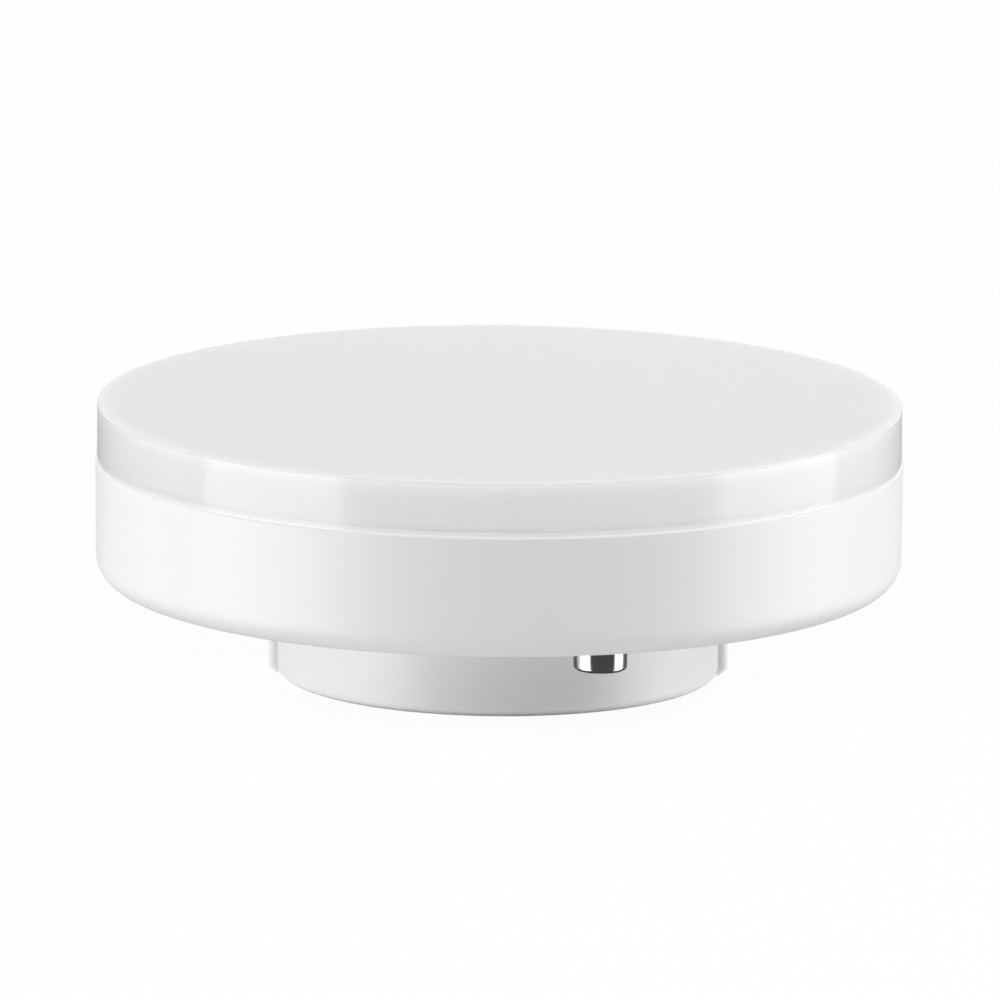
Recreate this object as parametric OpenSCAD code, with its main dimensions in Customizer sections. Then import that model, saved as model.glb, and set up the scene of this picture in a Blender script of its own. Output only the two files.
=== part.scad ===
// Round LED disc lamp: opal diffuser, drum housing with a keyed boss, and two twist-lock contact pins.
// The lamp stands on the flat end of its boss, as it does on a table. The origin is the centre of that
// end face, +Z points to the light-emitting side, and the two contact pins lie on the Y axis.
// All lengths are in millimetres and all angles in degrees.

/* [Drum] */
// Outer diameter of the drum
drum_d = 75; // [72:0.5:80]
// Height of the drum, from its shoulder to the seam under the diffuser
drum_h = 11.6; // [11:0.1:15]
// Thickness of the drum's wall and floor
drum_wall = 1.6; // [1.4:0.1:2]
// Radius of the rounded edge around the drum's underside
drum_edge_r = 2.5; // [1:0.1:4]
// Bevel that runs around the top of the rim and shows as a bright line
rim_bevel = 0.2; // [0.1:0.05:0.35]

/* [Cap boss] */
// Outer diameter of the boss that enters the lampholder
boss_d = 41; // [40.5:0.1:42]
// Height of the boss, from its end face to the drum's shoulder
boss_h = 8.8; // [8:0.1:11]
// Thickness of the boss's side wall
boss_wall = 1.6; // [1.2:0.1:1.8]
// Thickness of the boss's end wall
boss_end_t = 1.6; // [1.2:0.1:2.4]
// Radius of the rounded edge around the boss's end face
boss_edge_r = 1; // [0.4:0.1:1.5]
// How far the two keys stand out of the boss
key_reach = 0.8; // [0.4:0.1:1]
// Width of one key, around the boss
key_width = 3; // [2:0.5:6]
// Angle from the line through the pins to the middle of a key
key_angle = 69; // [50:1:90]
// Height of a key's lower end above the boss's end face
key_lift = 0.1; // [0.1:0.1:1]

/* [Contact pins] */
// Distance between the axes of the two contact pins
pin_spacing = 53; // [52:0.1:54]
// Diameter of a pin's head
pin_head_d = 5; // [4.6:0.1:5.4]
// Length of a pin's head
pin_head_h = 2.2; // [1.8:0.1:2.8]
// Radius of the rounded edge at the end of a pin's head
pin_edge_r = 0.4; // [0.2:0.1:0.8]
// Diameter of a pin's neck and shank
pin_neck_d = 3.2; // [2.8:0.1:3.6]
// Length of the neck between the head and the drum
pin_neck_h = 1; // [0.8:0.1:1.6]
// Diameter of the flange that is upset inside the drum to hold the pin
pin_flange_d = 4.6; // [4.2:0.1:5.4]
// Thickness of the upset flange
pin_flange_t = 0.6; // [0.4:0.1:0.9]
// Depth of the hole in a pin's inner end that takes the wire
pin_hole_depth = 2.6; // [1.6:0.1:3]

/* [Diffuser] */
// Height of the diffuser that shows above the seam
diffuser_h = 5.2; // [4.5:0.1:9]
// How far the diffuser's side stands back from the drum's side
diffuser_step = 0.12; // [0.05:0.01:0.3]
// Thickness of the diffuser's flat face
diffuser_face_t = 1.5; // [1:0.1:2]
// Thickness of the diffuser's skirt
diffuser_wall = 1.6; // [1.5:0.1:1.9]
// Radius of the edge around the diffuser's face
diffuser_edge_r = 0.5; // [0.2:0.1:1.2]
// How deep the diffuser's spigot enters the drum
spigot_h = 3.2; // [2.6:0.1:4]
// How far the snap beads on the spigot stand out
snap_reach = 0.3; // [0.2:0.05:0.4]
// Number of snap beads around the spigot
snap_count = 4; // [3:1:8]
// Angle that one snap bead covers
snap_span = 22; // [10:1:30]

/* [Heat spreader] */
// Thickness of the pressed aluminium dish
spreader_t = 1; // [0.8:0.1:1.2]
// Height of the dish over its upturned rim
spreader_h = 2.6; // [2:0.1:3]

/* [LED board] */
// Thickness of the aluminium-backed LED board
led_board_t = 1.2; // [0.8:0.1:1.6]
// Gap between the LED board and the dish's rim
led_board_gap = 1.8; // [1:0.1:3]
// Number of LEDs on the outer ring
outer_leds = 15; // [9:3:18]
// Number of LEDs on the inner ring
inner_leds = 6; // [4:1:8]
// Distance from the board's edge to the middle of the outer ring's LEDs
outer_led_inset = 8; // [7.5:0.5:9]
// Radius of the inner ring of LEDs
inner_led_r = 10.5; // [8:0.5:11]
// Length of one LED package
led_l = 3.5; // [3:0.1:4]
// Width of one LED package
led_w = 2.8; // [2.6:0.1:3.2]
// Height of one LED package
led_h = 0.7; // [0.5:0.1:1]

/* [Board screws] */
// Number of screws that clamp the LED board and the dish
screw_count = 3; // [3:1:3]
// Distance from the LED board's edge to a screw's axis
screw_inset = 3.4; // [3.2:0.1:3.6]
// Diameter of a screw's shank
screw_d = 2.2; // [1.8:0.1:2.4]
// Diameter of a screw's head
screw_head_d = 4.2; // [3.8:0.1:4.6]
// Height of a screw's head
screw_head_h = 1.5; // [1.2:0.1:1.8]
// Length of a screw under its head
screw_l = 5; // [4:0.1:5.4]
// Outer diameter of a post that takes a screw
post_d = 5.4; // [4.6:0.1:6]

/* [Driver] */
// Thickness of the driver board
driver_board_t = 1.2; // [1:0.1:1.6]
// Height of the ledges that carry the driver board above the boss's end wall
ledge_h = 2; // [1.6:0.1:2.6]
// Diameter of the electrolytic capacitors
can_d = 6.3; // [5:0.1:6.4]
// Length of the electrolytic capacitors
can_l = 10.5; // [8:0.1:10.8]
// Diameter of the varistor's disc
varistor_d = 6.2; // [5:0.1:6.4]
// Diameter of the insulated wires
wire_d = 1.2; // [1:0.1:1.3]

/* [Hidden] */
$fn = 64;

// Facets of the large round pieces, and of the wires
fine_fn = 160;
wire_sides = 8;
// Cutters run past the face that they cut by this much
past = 1;
// Play between pieces that slide together, and between pieces that only pass each other
slip = 0.1;
pass_gap = 0.2;

drum_r = drum_d / 2;
drum_inner_r = drum_r - drum_wall;
boss_r = boss_d / 2;
pocket_r = boss_r - boss_wall;
shoulder_z = boss_h;
drum_floor_z = shoulder_z + drum_wall;
rim_z = shoulder_z + drum_h;
top_z = rim_z + diffuser_h;

// The rebate in the rim takes the diffuser's spigot
diffuser_r = drum_r - diffuser_step;
diffuser_inner_r = diffuser_r - diffuser_wall;
rim_t = 0.9;
rebate_r = drum_r - rim_t;
rebate_z = rim_z - spigot_h - pass_gap;
spigot_r = rebate_r - slip;
bead_h = 0.9;
bead_z = rim_z - spigot_h / 2;

// The dish stands on ribs below the rebate, and the LED board lies in it
spreader_r = drum_inner_r - slip;
spreader_z = rebate_z - pass_gap - spreader_h;
spreader_bend_r = 1.5;
spreader_top_z = spreader_z + spreader_t;
led_board_r = spreader_r - spreader_t - led_board_gap;
led_board_top_z = spreader_top_z + led_board_t;
screw_ring_r = led_board_r - screw_inset;
outer_led_r = led_board_r - outer_led_inset;
rib_count = 12;
rib_t = 1.2;
rib_reach = 3;

pin_ring_r = pin_spacing / 2;
pin_boss_d = pin_flange_d + 2;
pin_boss_h = 1;
pin_seat_z = drum_floor_z + pin_boss_h;
pin_top_z = pin_seat_z + pin_flange_t;
pin_end_z = shoulder_z - pin_neck_h - pin_head_h;

driver_z = boss_end_t + ledge_h;
driver_top_z = driver_z + driver_board_t;
driver_board_r = pocket_r - 0.4;
ledge_count = 4;
ledge_reach = 2;
hook_w = 3.4;
hook_t = 1.1;
hook_reach = 0.6;
hook_r = pocket_r - 0.6;

// Where the driver's pieces stand on their board, measured from its centre
input_can_at = [-7, 8.4];
output_can_at = [5.8, -9.8];
transformer_at = [7.2, 4.6];
film_at = [-7.2, -10];
bridge_at = [-7, -2.2];
chip_at = [0, -3.2];
diode_at = [12.6, -3.4];
fuse_at = [-13.8, -3.6];
varistor_at = [-12, 2.6];
chip_resistor_at = [6.2, -2.6];
chip_capacitor_at = [-3.6, 2.6];

lead_d = 0.6;
lead_hole_d = 0.9;
lead_out = 0.8;
can_lead_pitch = 2.5;
can_lead_reach = 1.2;
film_size = [7.2, 3.4, 6.4];
film_pitch = 5;
fuse_d = 2.6;
fuse_l = 6;
fuse_pitch = 8.4;
fuse_lift = 0.3;
varistor_t = 3;
varistor_pitch = 5;
varistor_lift = 0.5;

// The transformer's winding lies along X, and its core surrounds it
core_size = [10.4, 9.8, 3];
core_leg_w = core_size[1] * 0.17;
core_middle_w = core_size[1] * 0.24;
bobbin_wall = core_size[1] * 0.04;
bobbin_flange_t = 0.6;
bobbin_flange_rise = 2;
bobbin_h = core_size[2] + 2 * bobbin_flange_rise;
bobbin_l = core_size[0] - 2 * core_leg_w - 2 * slip;
bobbin_tube_w = core_middle_w + 2 * slip + 2 * bobbin_wall;
bobbin_tube_h = core_size[2] + 2 * slip + 2 * bobbin_wall;
bobbin_flange_w = core_size[1] - 2 * core_leg_w - 2 * slip;
winding_l = bobbin_l - 2 * bobbin_flange_t;
winding_w = (bobbin_tube_w + 3 * bobbin_flange_w) / 4;
winding_h = (bobbin_tube_h + 2 * bobbin_h) / 3;
bobbin_foot_w = 1;
bobbin_foot_h = 0.4;
bobbin_pin_x = bobbin_l / 2 - bobbin_flange_t / 2 - bobbin_foot_w / 2;
bobbin_pin_y = bobbin_flange_w / 2 - bobbin_foot_w / 2;

// Moulded packages: length, width and height of the body, and the span over the leads
rectifier_body = [4.8, 3.9, 2.5];
rectifier_span = 6.4;
rectifier_pitch = 2.5;
driver_chip_body = [4.9, 3.9, 1.5];
driver_chip_span = 6;
driver_chip_pitch = 1.27;
diode_body = [2.6, 4.3, 2.1];
diode_contact = [1.5, 0.5, 1.2];
chip_pitch = 1.9;
chip_resistor_size = [1.25, 2, 0.5];
chip_capacitor_size = [1.25, 2, 0.9];

// The insulated wires run from the pins to the driver board, and from there to the LED board
supply_pad_r = 15.4;
wire_hole_d = wire_d + 0.2;
wire_bend_r = 1.5;
led_wire_x = 15.6;
led_wire_pitch = 3.2;
led_wire_reach = 3.8;
led_pad_x = led_wire_x - led_wire_reach;
slot_w = 2.6;
solder_d = 2.4;
solder_h = 0.9;
led_wire_rise = solder_h + wire_d;

// Lead positions of every piece that is soldered through the driver board
function pair_x(at, pitch) = [for (s = [-1, 1]) [at[0] + s * pitch / 2, at[1]]];
function pair_y(at, pitch) = [for (s = [-1, 1]) [at[0], at[1] + s * pitch / 2]];
function can_leads(at, side) = pair_y([at[0] + side * (can_l / 2 + can_lead_reach), at[1]], can_lead_pitch);
function bobbin_pins() = [
    for (x = [-1, 1], y = [-1, 1])
        [transformer_at[0] + x * bobbin_pin_x, transformer_at[1] + y * bobbin_pin_y]
];
lead_holes = concat(
    can_leads(input_can_at, 1), can_leads(output_can_at, -1), pair_x(film_at, film_pitch),
    pair_y(fuse_at, fuse_pitch), pair_x(varistor_at, varistor_pitch), bobbin_pins()
);
supply_pads = [[0, -supply_pad_r], [0, supply_pad_r]];
led_wire_ys = [for (s = [-1, 1]) s * led_wire_pitch / 2];

// Sharp corner of a section at [x, z] outside a round of radius r; sx and sz point out of the section
module corner_cut(x, z, r, sx, sz) {
    translate([x - sx * r, z - sz * r])
        difference() {
            mirror([sx < 0 ? 1 : 0, 0]) mirror([0, sz < 0 ? 1 : 0]) square(r + past);
            circle(r);
        }
}

// Rectangle of a section from radius r0 to r1 and height z0 to z1
module band(r0, r1, z0, z1) {
    translate([r0, z0]) square([r1 - r0, z1 - z0]);
}

// Copies of a piece around the axis
module around(count, start = 0) {
    for (i = [0:count - 1]) rotate([0, 0, start + i * 360 / count]) children();
}

// Part of a ring that covers an angle, centred on the X axis
module arc_piece(span) {
    rotate([0, 0, -span / 2]) rotate_extrude(angle = span, $fn = fine_fn) children();
}

// Opal cover: a flat face, a skirt, and a thin spigot with snap beads that clicks into the rim
module diffuser() {
    inner_corner_r = 0.8;
    color("#ececea") {
        rotate_extrude($fn = fine_fn)
            difference() {
                union() {
                    band(0, diffuser_r, rim_z, top_z);
                    band(0, spigot_r, rim_z - spigot_h, rim_z + slip);
                }
                difference() {
                    band(-past, diffuser_inner_r, rim_z - spigot_h - past, top_z - diffuser_face_t);
                    corner_cut(diffuser_inner_r, top_z - diffuser_face_t, inner_corner_r, 1, 1);
                }
                corner_cut(diffuser_r, top_z, diffuser_edge_r, 1, 1);
            }
        around(snap_count, 45)
            arc_piece(snap_span)
                polygon([
                    [spigot_r - slip, bead_z - bead_h / 2],
                    [spigot_r, bead_z - bead_h / 2],
                    [spigot_r + snap_reach, bead_z],
                    [spigot_r + snap_reach, bead_z + bead_h / 4],
                    [spigot_r, bead_z + bead_h / 2],
                    [spigot_r - slip, bead_z + bead_h / 2]
                ]);
    }
}

// Section of the moulded shell: drum, boss, pocket, rebate and the groove for the snap beads
module housing_section() {
    difference() {
        union() {
            band(0, boss_r, 0, drum_floor_z);
            band(0, drum_r, shoulder_z, rim_z);
        }
        band(-past, pocket_r, boss_end_t, rim_z + past);
        band(-past, drum_inner_r, drum_floor_z, rim_z + past);
        band(-past, rebate_r, rebate_z, rim_z + past);
        band(-past, rebate_r + snap_reach, bead_z - bead_h / 2 - slip, bead_z + bead_h / 2 + slip);
        corner_cut(drum_r, shoulder_z, drum_edge_r, 1, -1);
        corner_cut(boss_r, 0, boss_edge_r, 1, -1);
        polygon([[drum_r - rim_bevel, rim_z], [drum_r + past, rim_z + past], [drum_r + past, rim_z - past],
                 [drum_r, rim_z - rim_bevel]]);
    }
}

// Key that stands out of the boss and keeps the lamp to holders of its own type
module boss_key() {
    slope = key_reach * 0.9;
    arc_piece(2 * asin(key_width / boss_d))
        polygon([
            [boss_r - boss_wall / 2, key_lift + boss_edge_r],
            [boss_r, key_lift],
            [boss_r + key_reach, key_lift + slope],
            [boss_r + key_reach, shoulder_z + drum_wall / 2],
            [boss_r - boss_wall / 2, shoulder_z + drum_wall / 2]
        ]);
}

// Moulded collar around a pin, inside the drum
module pin_collar() {
    translate([pin_ring_r, 0, drum_floor_z - drum_wall / 2])
        cylinder(d = pin_boss_d, h = pin_boss_h + drum_wall / 2);
}

// Rib against the drum's wall that the dish stands on
module spreader_rib() {
    translate([drum_inner_r - rib_reach, -rib_t / 2, drum_floor_z - drum_wall / 2])
        cube([rib_reach + drum_wall / 2, rib_t, spreader_z - drum_floor_z + drum_wall / 2]);
}

// Post on the drum's floor that a board screw bites into
module screw_post() {
    translate([screw_ring_r, 0, drum_floor_z - drum_wall / 2])
        cylinder(d = post_d, h = spreader_z - drum_floor_z + drum_wall / 2);
}

// Ledge in the boss's pocket that carries the driver board
module driver_ledge() {
    translate([pocket_r - ledge_reach, -rib_t / 2, boss_end_t / 2])
        cube([ledge_reach + boss_wall / 2, rib_t, ledge_h + boss_end_t / 2]);
}

// Springy hook that snaps over the edge of the driver board
module driver_hook() {
    nose_z = driver_top_z + slip / 2;
    nose_h = 1.1;
    rotate([90, 0, 0])
        linear_extrude(height = hook_w, center = true)
            polygon([
                [hook_r - hook_t, boss_end_t / 2],
                [hook_r, boss_end_t / 2],
                [hook_r, nose_z + nose_h],
                [hook_r - hook_t + hook_reach / 2, nose_z + nose_h],
                [hook_r - hook_t - hook_reach, nose_z + nose_h / 3],
                [hook_r - hook_t - hook_reach, nose_z],
                [hook_r - hook_t, nose_z]
            ]);
}

// White moulded shell in one piece, with everything that is moulded inside it
module housing() {
    color("#f7f7f6")
        difference() {
            union() {
                rotate_extrude($fn = fine_fn) housing_section();
                around(2, key_angle - 90) boss_key();
                around(2, 90) pin_collar();
                around(rib_count, 360 / rib_count / 2) spreader_rib();
                around(screw_count) screw_post();
                around(ledge_count, 45) driver_ledge();
                around(2) driver_hook();
            }
            around(2, 90) translate([pin_ring_r, 0, 0]) cylinder(d = pin_neck_d, h = rim_z);
            around(screw_count)
                translate([screw_ring_r, 0, led_board_top_z - screw_l - pass_gap])
                    cylinder(d = screw_d, h = screw_l);
        }
}

// Contact pin: rounded head, neck, shank through the floor, upset flange, and a hole for the wire
module contact_pin(side) {
    color("#c9c9c6")
        translate([0, side * pin_ring_r, 0])
            difference() {
                rotate_extrude()
                    difference() {
                        union() {
                            band(0, pin_head_d / 2, pin_end_z, pin_end_z + pin_head_h);
                            band(0, pin_neck_d / 2, pin_end_z, pin_top_z);
                            band(0, pin_flange_d / 2, pin_seat_z, pin_top_z);
                        }
                        corner_cut(pin_head_d / 2, pin_end_z, pin_edge_r, 1, -1);
                        corner_cut(pin_head_d / 2, pin_end_z + pin_head_h, pin_edge_r / 2, 1, 1);
                        corner_cut(pin_flange_d / 2, pin_top_z, pin_flange_t / 2, 1, 1);
                    }
                translate([0, 0, pin_top_z - pin_hole_depth])
                    cylinder(d = wire_d, h = pin_hole_depth + past);
            }
}

// Slot through the dish and the LED board for the two wires
module wire_slot(z, t) {
    for (y = led_wire_ys) translate([led_wire_x, y, z - past]) cylinder(d = slot_w, h = t + 2 * past);
    translate([led_wire_x - slot_w / 2, -led_wire_pitch / 2, z - past])
        cube([slot_w, led_wire_pitch, t + 2 * past]);
}

// Clearance holes for the board screws
module screw_holes(z, t) {
    around(screw_count)
        translate([screw_ring_r, 0, z - past]) cylinder(d = screw_d + 2 * pass_gap, h = t + 2 * past);
}

// Pressed aluminium dish that spreads the LEDs' heat
module heat_spreader() {
    dish_r = spreader_r - spreader_t;
    color("#c4c7c9")
        difference() {
            rotate_extrude($fn = fine_fn)
                difference() {
                    band(0, spreader_r, spreader_z, spreader_z + spreader_h);
                    difference() {
                        band(-past, dish_r, spreader_top_z, spreader_z + spreader_h + past);
                        corner_cut(dish_r, spreader_top_z, spreader_bend_r - spreader_t, 1, -1);
                    }
                    corner_cut(spreader_r, spreader_z, spreader_bend_r, 1, -1);
                }
            screw_holes(spreader_z, spreader_t);
            wire_slot(spreader_z, spreader_t);
        }
}

// Round aluminium-backed board with two locating notches
module led_board() {
    notch_d = 3;
    color("#f4f5f3")
        difference() {
            translate([0, 0, spreader_top_z]) cylinder(r = led_board_r, h = led_board_t, $fn = fine_fn);
            screw_holes(spreader_top_z, led_board_t);
            wire_slot(spreader_top_z, led_board_t);
            around(2, 90)
                translate([led_board_r, 0, spreader_top_z - past])
                    cylinder(d = notch_d, h = led_board_t + 2 * past);
        }
}

// Places a piece at each LED, its length along the ring
module led_ring(count, r) {
    around(count, 180 / count) translate([r, 0, led_board_top_z]) rotate([0, 0, 90]) children();
}

module at_leds() {
    led_ring(outer_leds, outer_led_r) children();
    led_ring(inner_leds, inner_led_r) children();
}

led_cup_r = 0.86;
led_cup_depth = 0.45;
led_cup_slope = 0.4;

// Reflector cup that is moulded into an LED package
module led_cup(h) {
    translate([0, 0, led_h - led_cup_depth])
        cylinder(r1 = led_cup_r, r2 = led_cup_r + h * led_cup_slope, h = h);
}

// White packages of the LEDs
module led_packages() {
    color("#fbfbf6")
        at_leds()
            difference() {
                translate([-led_l / 2, -led_w / 2, 0]) cube([led_l, led_w, led_h]);
                led_cup(led_cup_depth + past);
            }
}

// Yellow phosphor that fills the LEDs' cups, a little below their rims
module led_phosphors() {
    color("#f2cf3a") at_leds() led_cup(led_cup_depth * 0.85);
}

// Pan-head screws that clamp the LED board and the dish to the posts
module board_screws() {
    cross_w = 0.6;
    cross_l = 2.2;
    cross_depth = 0.8;
    tip_h = 0.8;
    color("#b9bcbe")
        around(screw_count)
            translate([screw_ring_r, 0, led_board_top_z]) {
                difference() {
                    rotate_extrude()
                        difference() {
                            band(0, screw_head_d / 2, 0, screw_head_h);
                            corner_cut(screw_head_d / 2, screw_head_h, screw_head_h * 0.6, 1, 1);
                        }
                    for (a = [45, 135])
                        rotate([0, 0, a])
                            translate([-cross_l / 2, -cross_w / 2, screw_head_h - cross_depth])
                                cube([cross_l, cross_w, cross_depth + past]);
                }
                translate([0, 0, tip_h - screw_l]) cylinder(d = screw_d, h = screw_l - tip_h + slip);
                translate([0, 0, -screw_l]) cylinder(d1 = screw_d * 0.5, d2 = screw_d, h = tip_h);
            }
}

// Solder domes that join the two wires to the LED board
module led_board_solder() {
    color("#cfd1d3")
        for (y = led_wire_ys)
            translate([led_pad_x, y, led_board_top_z])
                difference() {
                    cylinder(d1 = solder_d, d2 = wire_d + 0.4, h = solder_h);
                    translate([0, 0, solder_h / 3]) cylinder(d = wire_d, h = solder_h);
                }
}

// Round driver board, drilled for the leads and wires, and notched for the two hooks
module driver_board() {
    color("#2f7a4d")
        difference() {
            translate([0, 0, driver_z]) cylinder(r = driver_board_r, h = driver_board_t, $fn = fine_fn);
            for (p = lead_holes) translate([p[0], p[1], 0]) cylinder(d = lead_hole_d, h = rim_z, $fn = 24);
            for (p = supply_pads) translate([p[0], p[1], 0]) cylinder(d = wire_hole_d, h = rim_z, $fn = 24);
            for (y = led_wire_ys)
                translate([led_wire_x, y, 0]) cylinder(d = wire_hole_d, h = rim_z, $fn = 24);
            around(2)
                translate([hook_r - hook_t - slip, -hook_w / 2 - slip, 0])
                    cube([driver_board_r, hook_w + 2 * slip, rim_z]);
        }
}

// Straight leads from a height above the board to a little below it
module leads(points, from_h) {
    for (p = points)
        translate([p[0], p[1], driver_z - lead_out])
            cylinder(d = lead_d, h = driver_board_t + lead_out + from_h, $fn = 24);
}

// Lead that stands in a hole of the board, bends over at a height and runs level along a heading
module bent_lead(at, heading, lift, reach) {
    bend = 0.6;
    translate([at[0], at[1], 0])
        rotate([0, 0, heading]) {
            translate([0, 0, driver_z - lead_out])
                cylinder(d = lead_d, h = driver_board_t + lead_out + lift - bend, $fn = 24);
            translate([bend, 0, driver_top_z + lift - bend])
                rotate([90, 0, 180])
                    rotate_extrude(angle = 90, $fn = 24)
                        translate([bend, 0]) circle(d = lead_d, $fn = 24);
            translate([bend, 0, driver_top_z + lift])
                rotate([0, 90, 0]) cylinder(d = lead_d, h = reach - bend, $fn = 24);
        }
}

// Lying electrolytic capacitor: sleeved can with a crimp and a rubber bung. side is where its leads are
module can_capacitor(at, side) {
    crimp_x = 1.6;
    bung_t = 0.6;
    can_r = can_d / 2;
    translate([at[0], at[1], driver_top_z + can_r])
        rotate([0, side * 90, 0])
            translate([0, 0, -can_l / 2])
                rotate_extrude()
                    difference() {
                        union() {
                            band(0, can_r, 0, can_l);
                            band(0, can_r * 0.62, can_l - slip, can_l + bung_t);
                        }
                        corner_cut(can_r, 0, 0.5, 1, -1);
                        corner_cut(can_r, can_l, 0.5, 1, 1);
                        translate([can_r + 0.25, can_l - crimp_x]) circle(0.6, $fn = 24);
                    }
    for (p = can_leads(at, side)) bent_lead(p, side > 0 ? 180 : 0, can_r, can_lead_reach);
}

module input_capacitor() {
    color("#2b2e38") can_capacitor(input_can_at, 1);
}

module output_capacitor() {
    color("#26324a") can_capacitor(output_can_at, -1);
}

// Boxed film capacitor on four small feet
module film_capacitor() {
    foot = 0.4;
    color("#b98a2d") {
        translate([film_at[0] - film_size[0] / 2, film_at[1] - film_size[1] / 2, driver_top_z + foot])
            cube([film_size[0], film_size[1], film_size[2] - foot]);
        for (x = [-1, 1], y = [-1, 1])
            translate([
                film_at[0] + x * (film_size[0] - 1) / 2 - 0.5,
                film_at[1] + y * (film_size[1] - 0.8) / 2 - 0.4,
                driver_top_z
            ])
                cube([1, 0.8, foot + slip]);
        leads(pair_x(film_at, film_pitch), 1);
    }
}

// Disc varistor that stands on two leads
module varistor() {
    centre_h = varistor_lift + varistor_d / 2;
    color("#3c6fa8") {
        translate([varistor_at[0], varistor_at[1], driver_top_z + centre_h])
            rotate([90, 0, 0])
                translate([0, 0, -varistor_t / 2])
                    rotate_extrude()
                        difference() {
                            band(0, varistor_d / 2, 0, varistor_t);
                            corner_cut(varistor_d / 2, 0, varistor_t * 0.4, 1, -1);
                            corner_cut(varistor_d / 2, varistor_t, varistor_t * 0.4, 1, 1);
                        }
        leads(pair_x(varistor_at, varistor_pitch), centre_h * 0.7);
    }
}

// Axial fusible resistor with caps at both ends, lying along Y on bent leads
module fusible_resistor() {
    lift = fuse_lift + fuse_d / 2;
    waist = 0.15;
    edge_r = 0.5;
    color("#7aa08a") {
        translate([fuse_at[0], fuse_at[1] + fuse_l / 2, driver_top_z + lift])
            rotate([90, 0, 0])
                rotate_extrude()
                    difference() {
                        union() {
                            band(0, fuse_d / 2 - waist, 0, fuse_l);
                            band(0, fuse_d / 2, 0, fuse_l / 4);
                            band(0, fuse_d / 2, fuse_l * 3 / 4, fuse_l);
                        }
                        corner_cut(fuse_d / 2, 0, edge_r, 1, -1);
                        corner_cut(fuse_d / 2, fuse_l, edge_r, 1, 1);
                    }
        for (s = [-1, 1])
            bent_lead(
                [fuse_at[0], fuse_at[1] + s * fuse_pitch / 2], -s * 90, lift, (fuse_pitch - fuse_l) / 2 + slip
            );
    }
}

// Row of gull-wing leads along both long sides of a moulded chip package, which lies along X
module gull_leads(count, pitch, body_w, span_w, body_h) {
    t = 0.2;
    w = 0.45;
    foot = 0.7;
    root = 0.3;
    mid = body_h / 2;
    for (i = [0:count - 1], s = [0, 1])
        rotate([0, 0, s * 180])
            translate([(i - (count - 1) / 2) * pitch + w / 2, 0, 0])
                rotate([90, 0, -90])
                    linear_extrude(height = w)
                        polygon([
                            [-span_w / 2, 0],
                            [-span_w / 2 + foot, 0],
                            [-body_w / 2 - t / 2, mid - t],
                            [-body_w / 2 + root, mid - t],
                            [-body_w / 2 + root, mid],
                            [-body_w / 2 - root, mid],
                            [-span_w / 2 + foot - t, t],
                            [-span_w / 2, t]
                        ]);
}

// Moulded package body that stands a little above the board
module chip_body(size) {
    stand = 0.1;
    translate([-size[0] / 2, -size[1] / 2, stand]) cube([size[0], size[1], size[2] - stand]);
}

// Bridge rectifier in a small moulded package
module bridge_rectifier() {
    color("#1d1e20")
        translate([bridge_at[0], bridge_at[1], driver_top_z]) {
            chip_body(rectifier_body);
            gull_leads(2, rectifier_pitch, rectifier_body[1], rectifier_span, rectifier_body[2] * 0.7);
        }
}

// Driver chip in an eight-lead package with a pin-one dimple
module driver_chip() {
    dimple_d = 0.7;
    dimple_depth = 0.1;
    l = driver_chip_body[0];
    w = driver_chip_body[1];
    h = driver_chip_body[2];
    color("#1b1c1e")
        translate([chip_at[0], chip_at[1], driver_top_z]) {
            difference() {
                chip_body(driver_chip_body);
                translate([-l * 0.37, -w * 0.3, h - dimple_depth])
                    cylinder(d = dimple_d, h = past, $fn = 24);
            }
            gull_leads(4, driver_chip_pitch, w, driver_chip_span, h * 0.8);
        }
}

// Output diode with two wrapped end contacts, lying along Y
module output_diode() {
    sunk = 0.2;
    end_y = diode_body[1] / 2 + diode_contact[1] / 2 - sunk;
    color("#1f2022")
        translate([diode_at[0], diode_at[1], driver_top_z]) {
            chip_body(diode_body);
            for (s = [-1, 1])
                translate([-diode_contact[0] / 2, s * end_y - diode_contact[1] / 2, 0]) cube(diode_contact);
        }
}

// Row of flat chips on the board along Y
module chip_row(at, count, pitch, size) {
    for (i = [0:count - 1])
        translate([at[0] + i * pitch - size[0] / 2, at[1] - size[1] / 2, driver_top_z]) cube(size);
}

module chip_resistors() {
    color("#2a2a2c") {
        chip_row(chip_resistor_at, 3, chip_pitch, chip_resistor_size);
        chip_row(chip_resistor_at - [0, chip_resistor_size[1] + 0.6], 3, chip_pitch, chip_resistor_size);
    }
}

module chip_capacitors() {
    color("#b3895c") chip_row(chip_capacitor_at, 3, chip_pitch, chip_capacitor_size);
}

// Rectangle with its middle on the origin, extruded along X
module x_block(l, w, h) {
    translate([-l / 2, -w / 2, -h / 2]) cube([l, w, h]);
}

core_z = driver_top_z + bobbin_h / 2;

// Ferrite core: a frame around the winding and a leg through the bobbin
module transformer_core() {
    window_l = core_size[0] - 2 * core_leg_w;
    window_w = (core_size[1] - 2 * core_leg_w - core_middle_w) / 2;
    color("#3a3a3d")
        translate([transformer_at[0], transformer_at[1], core_z])
            difference() {
                x_block(core_size[0], core_size[1], core_size[2]);
                for (s = [-1, 1])
                    translate([0, s * (core_middle_w + window_w) / 2, 0])
                        x_block(window_l, window_w, core_size[2] + past);
            }
}

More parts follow.
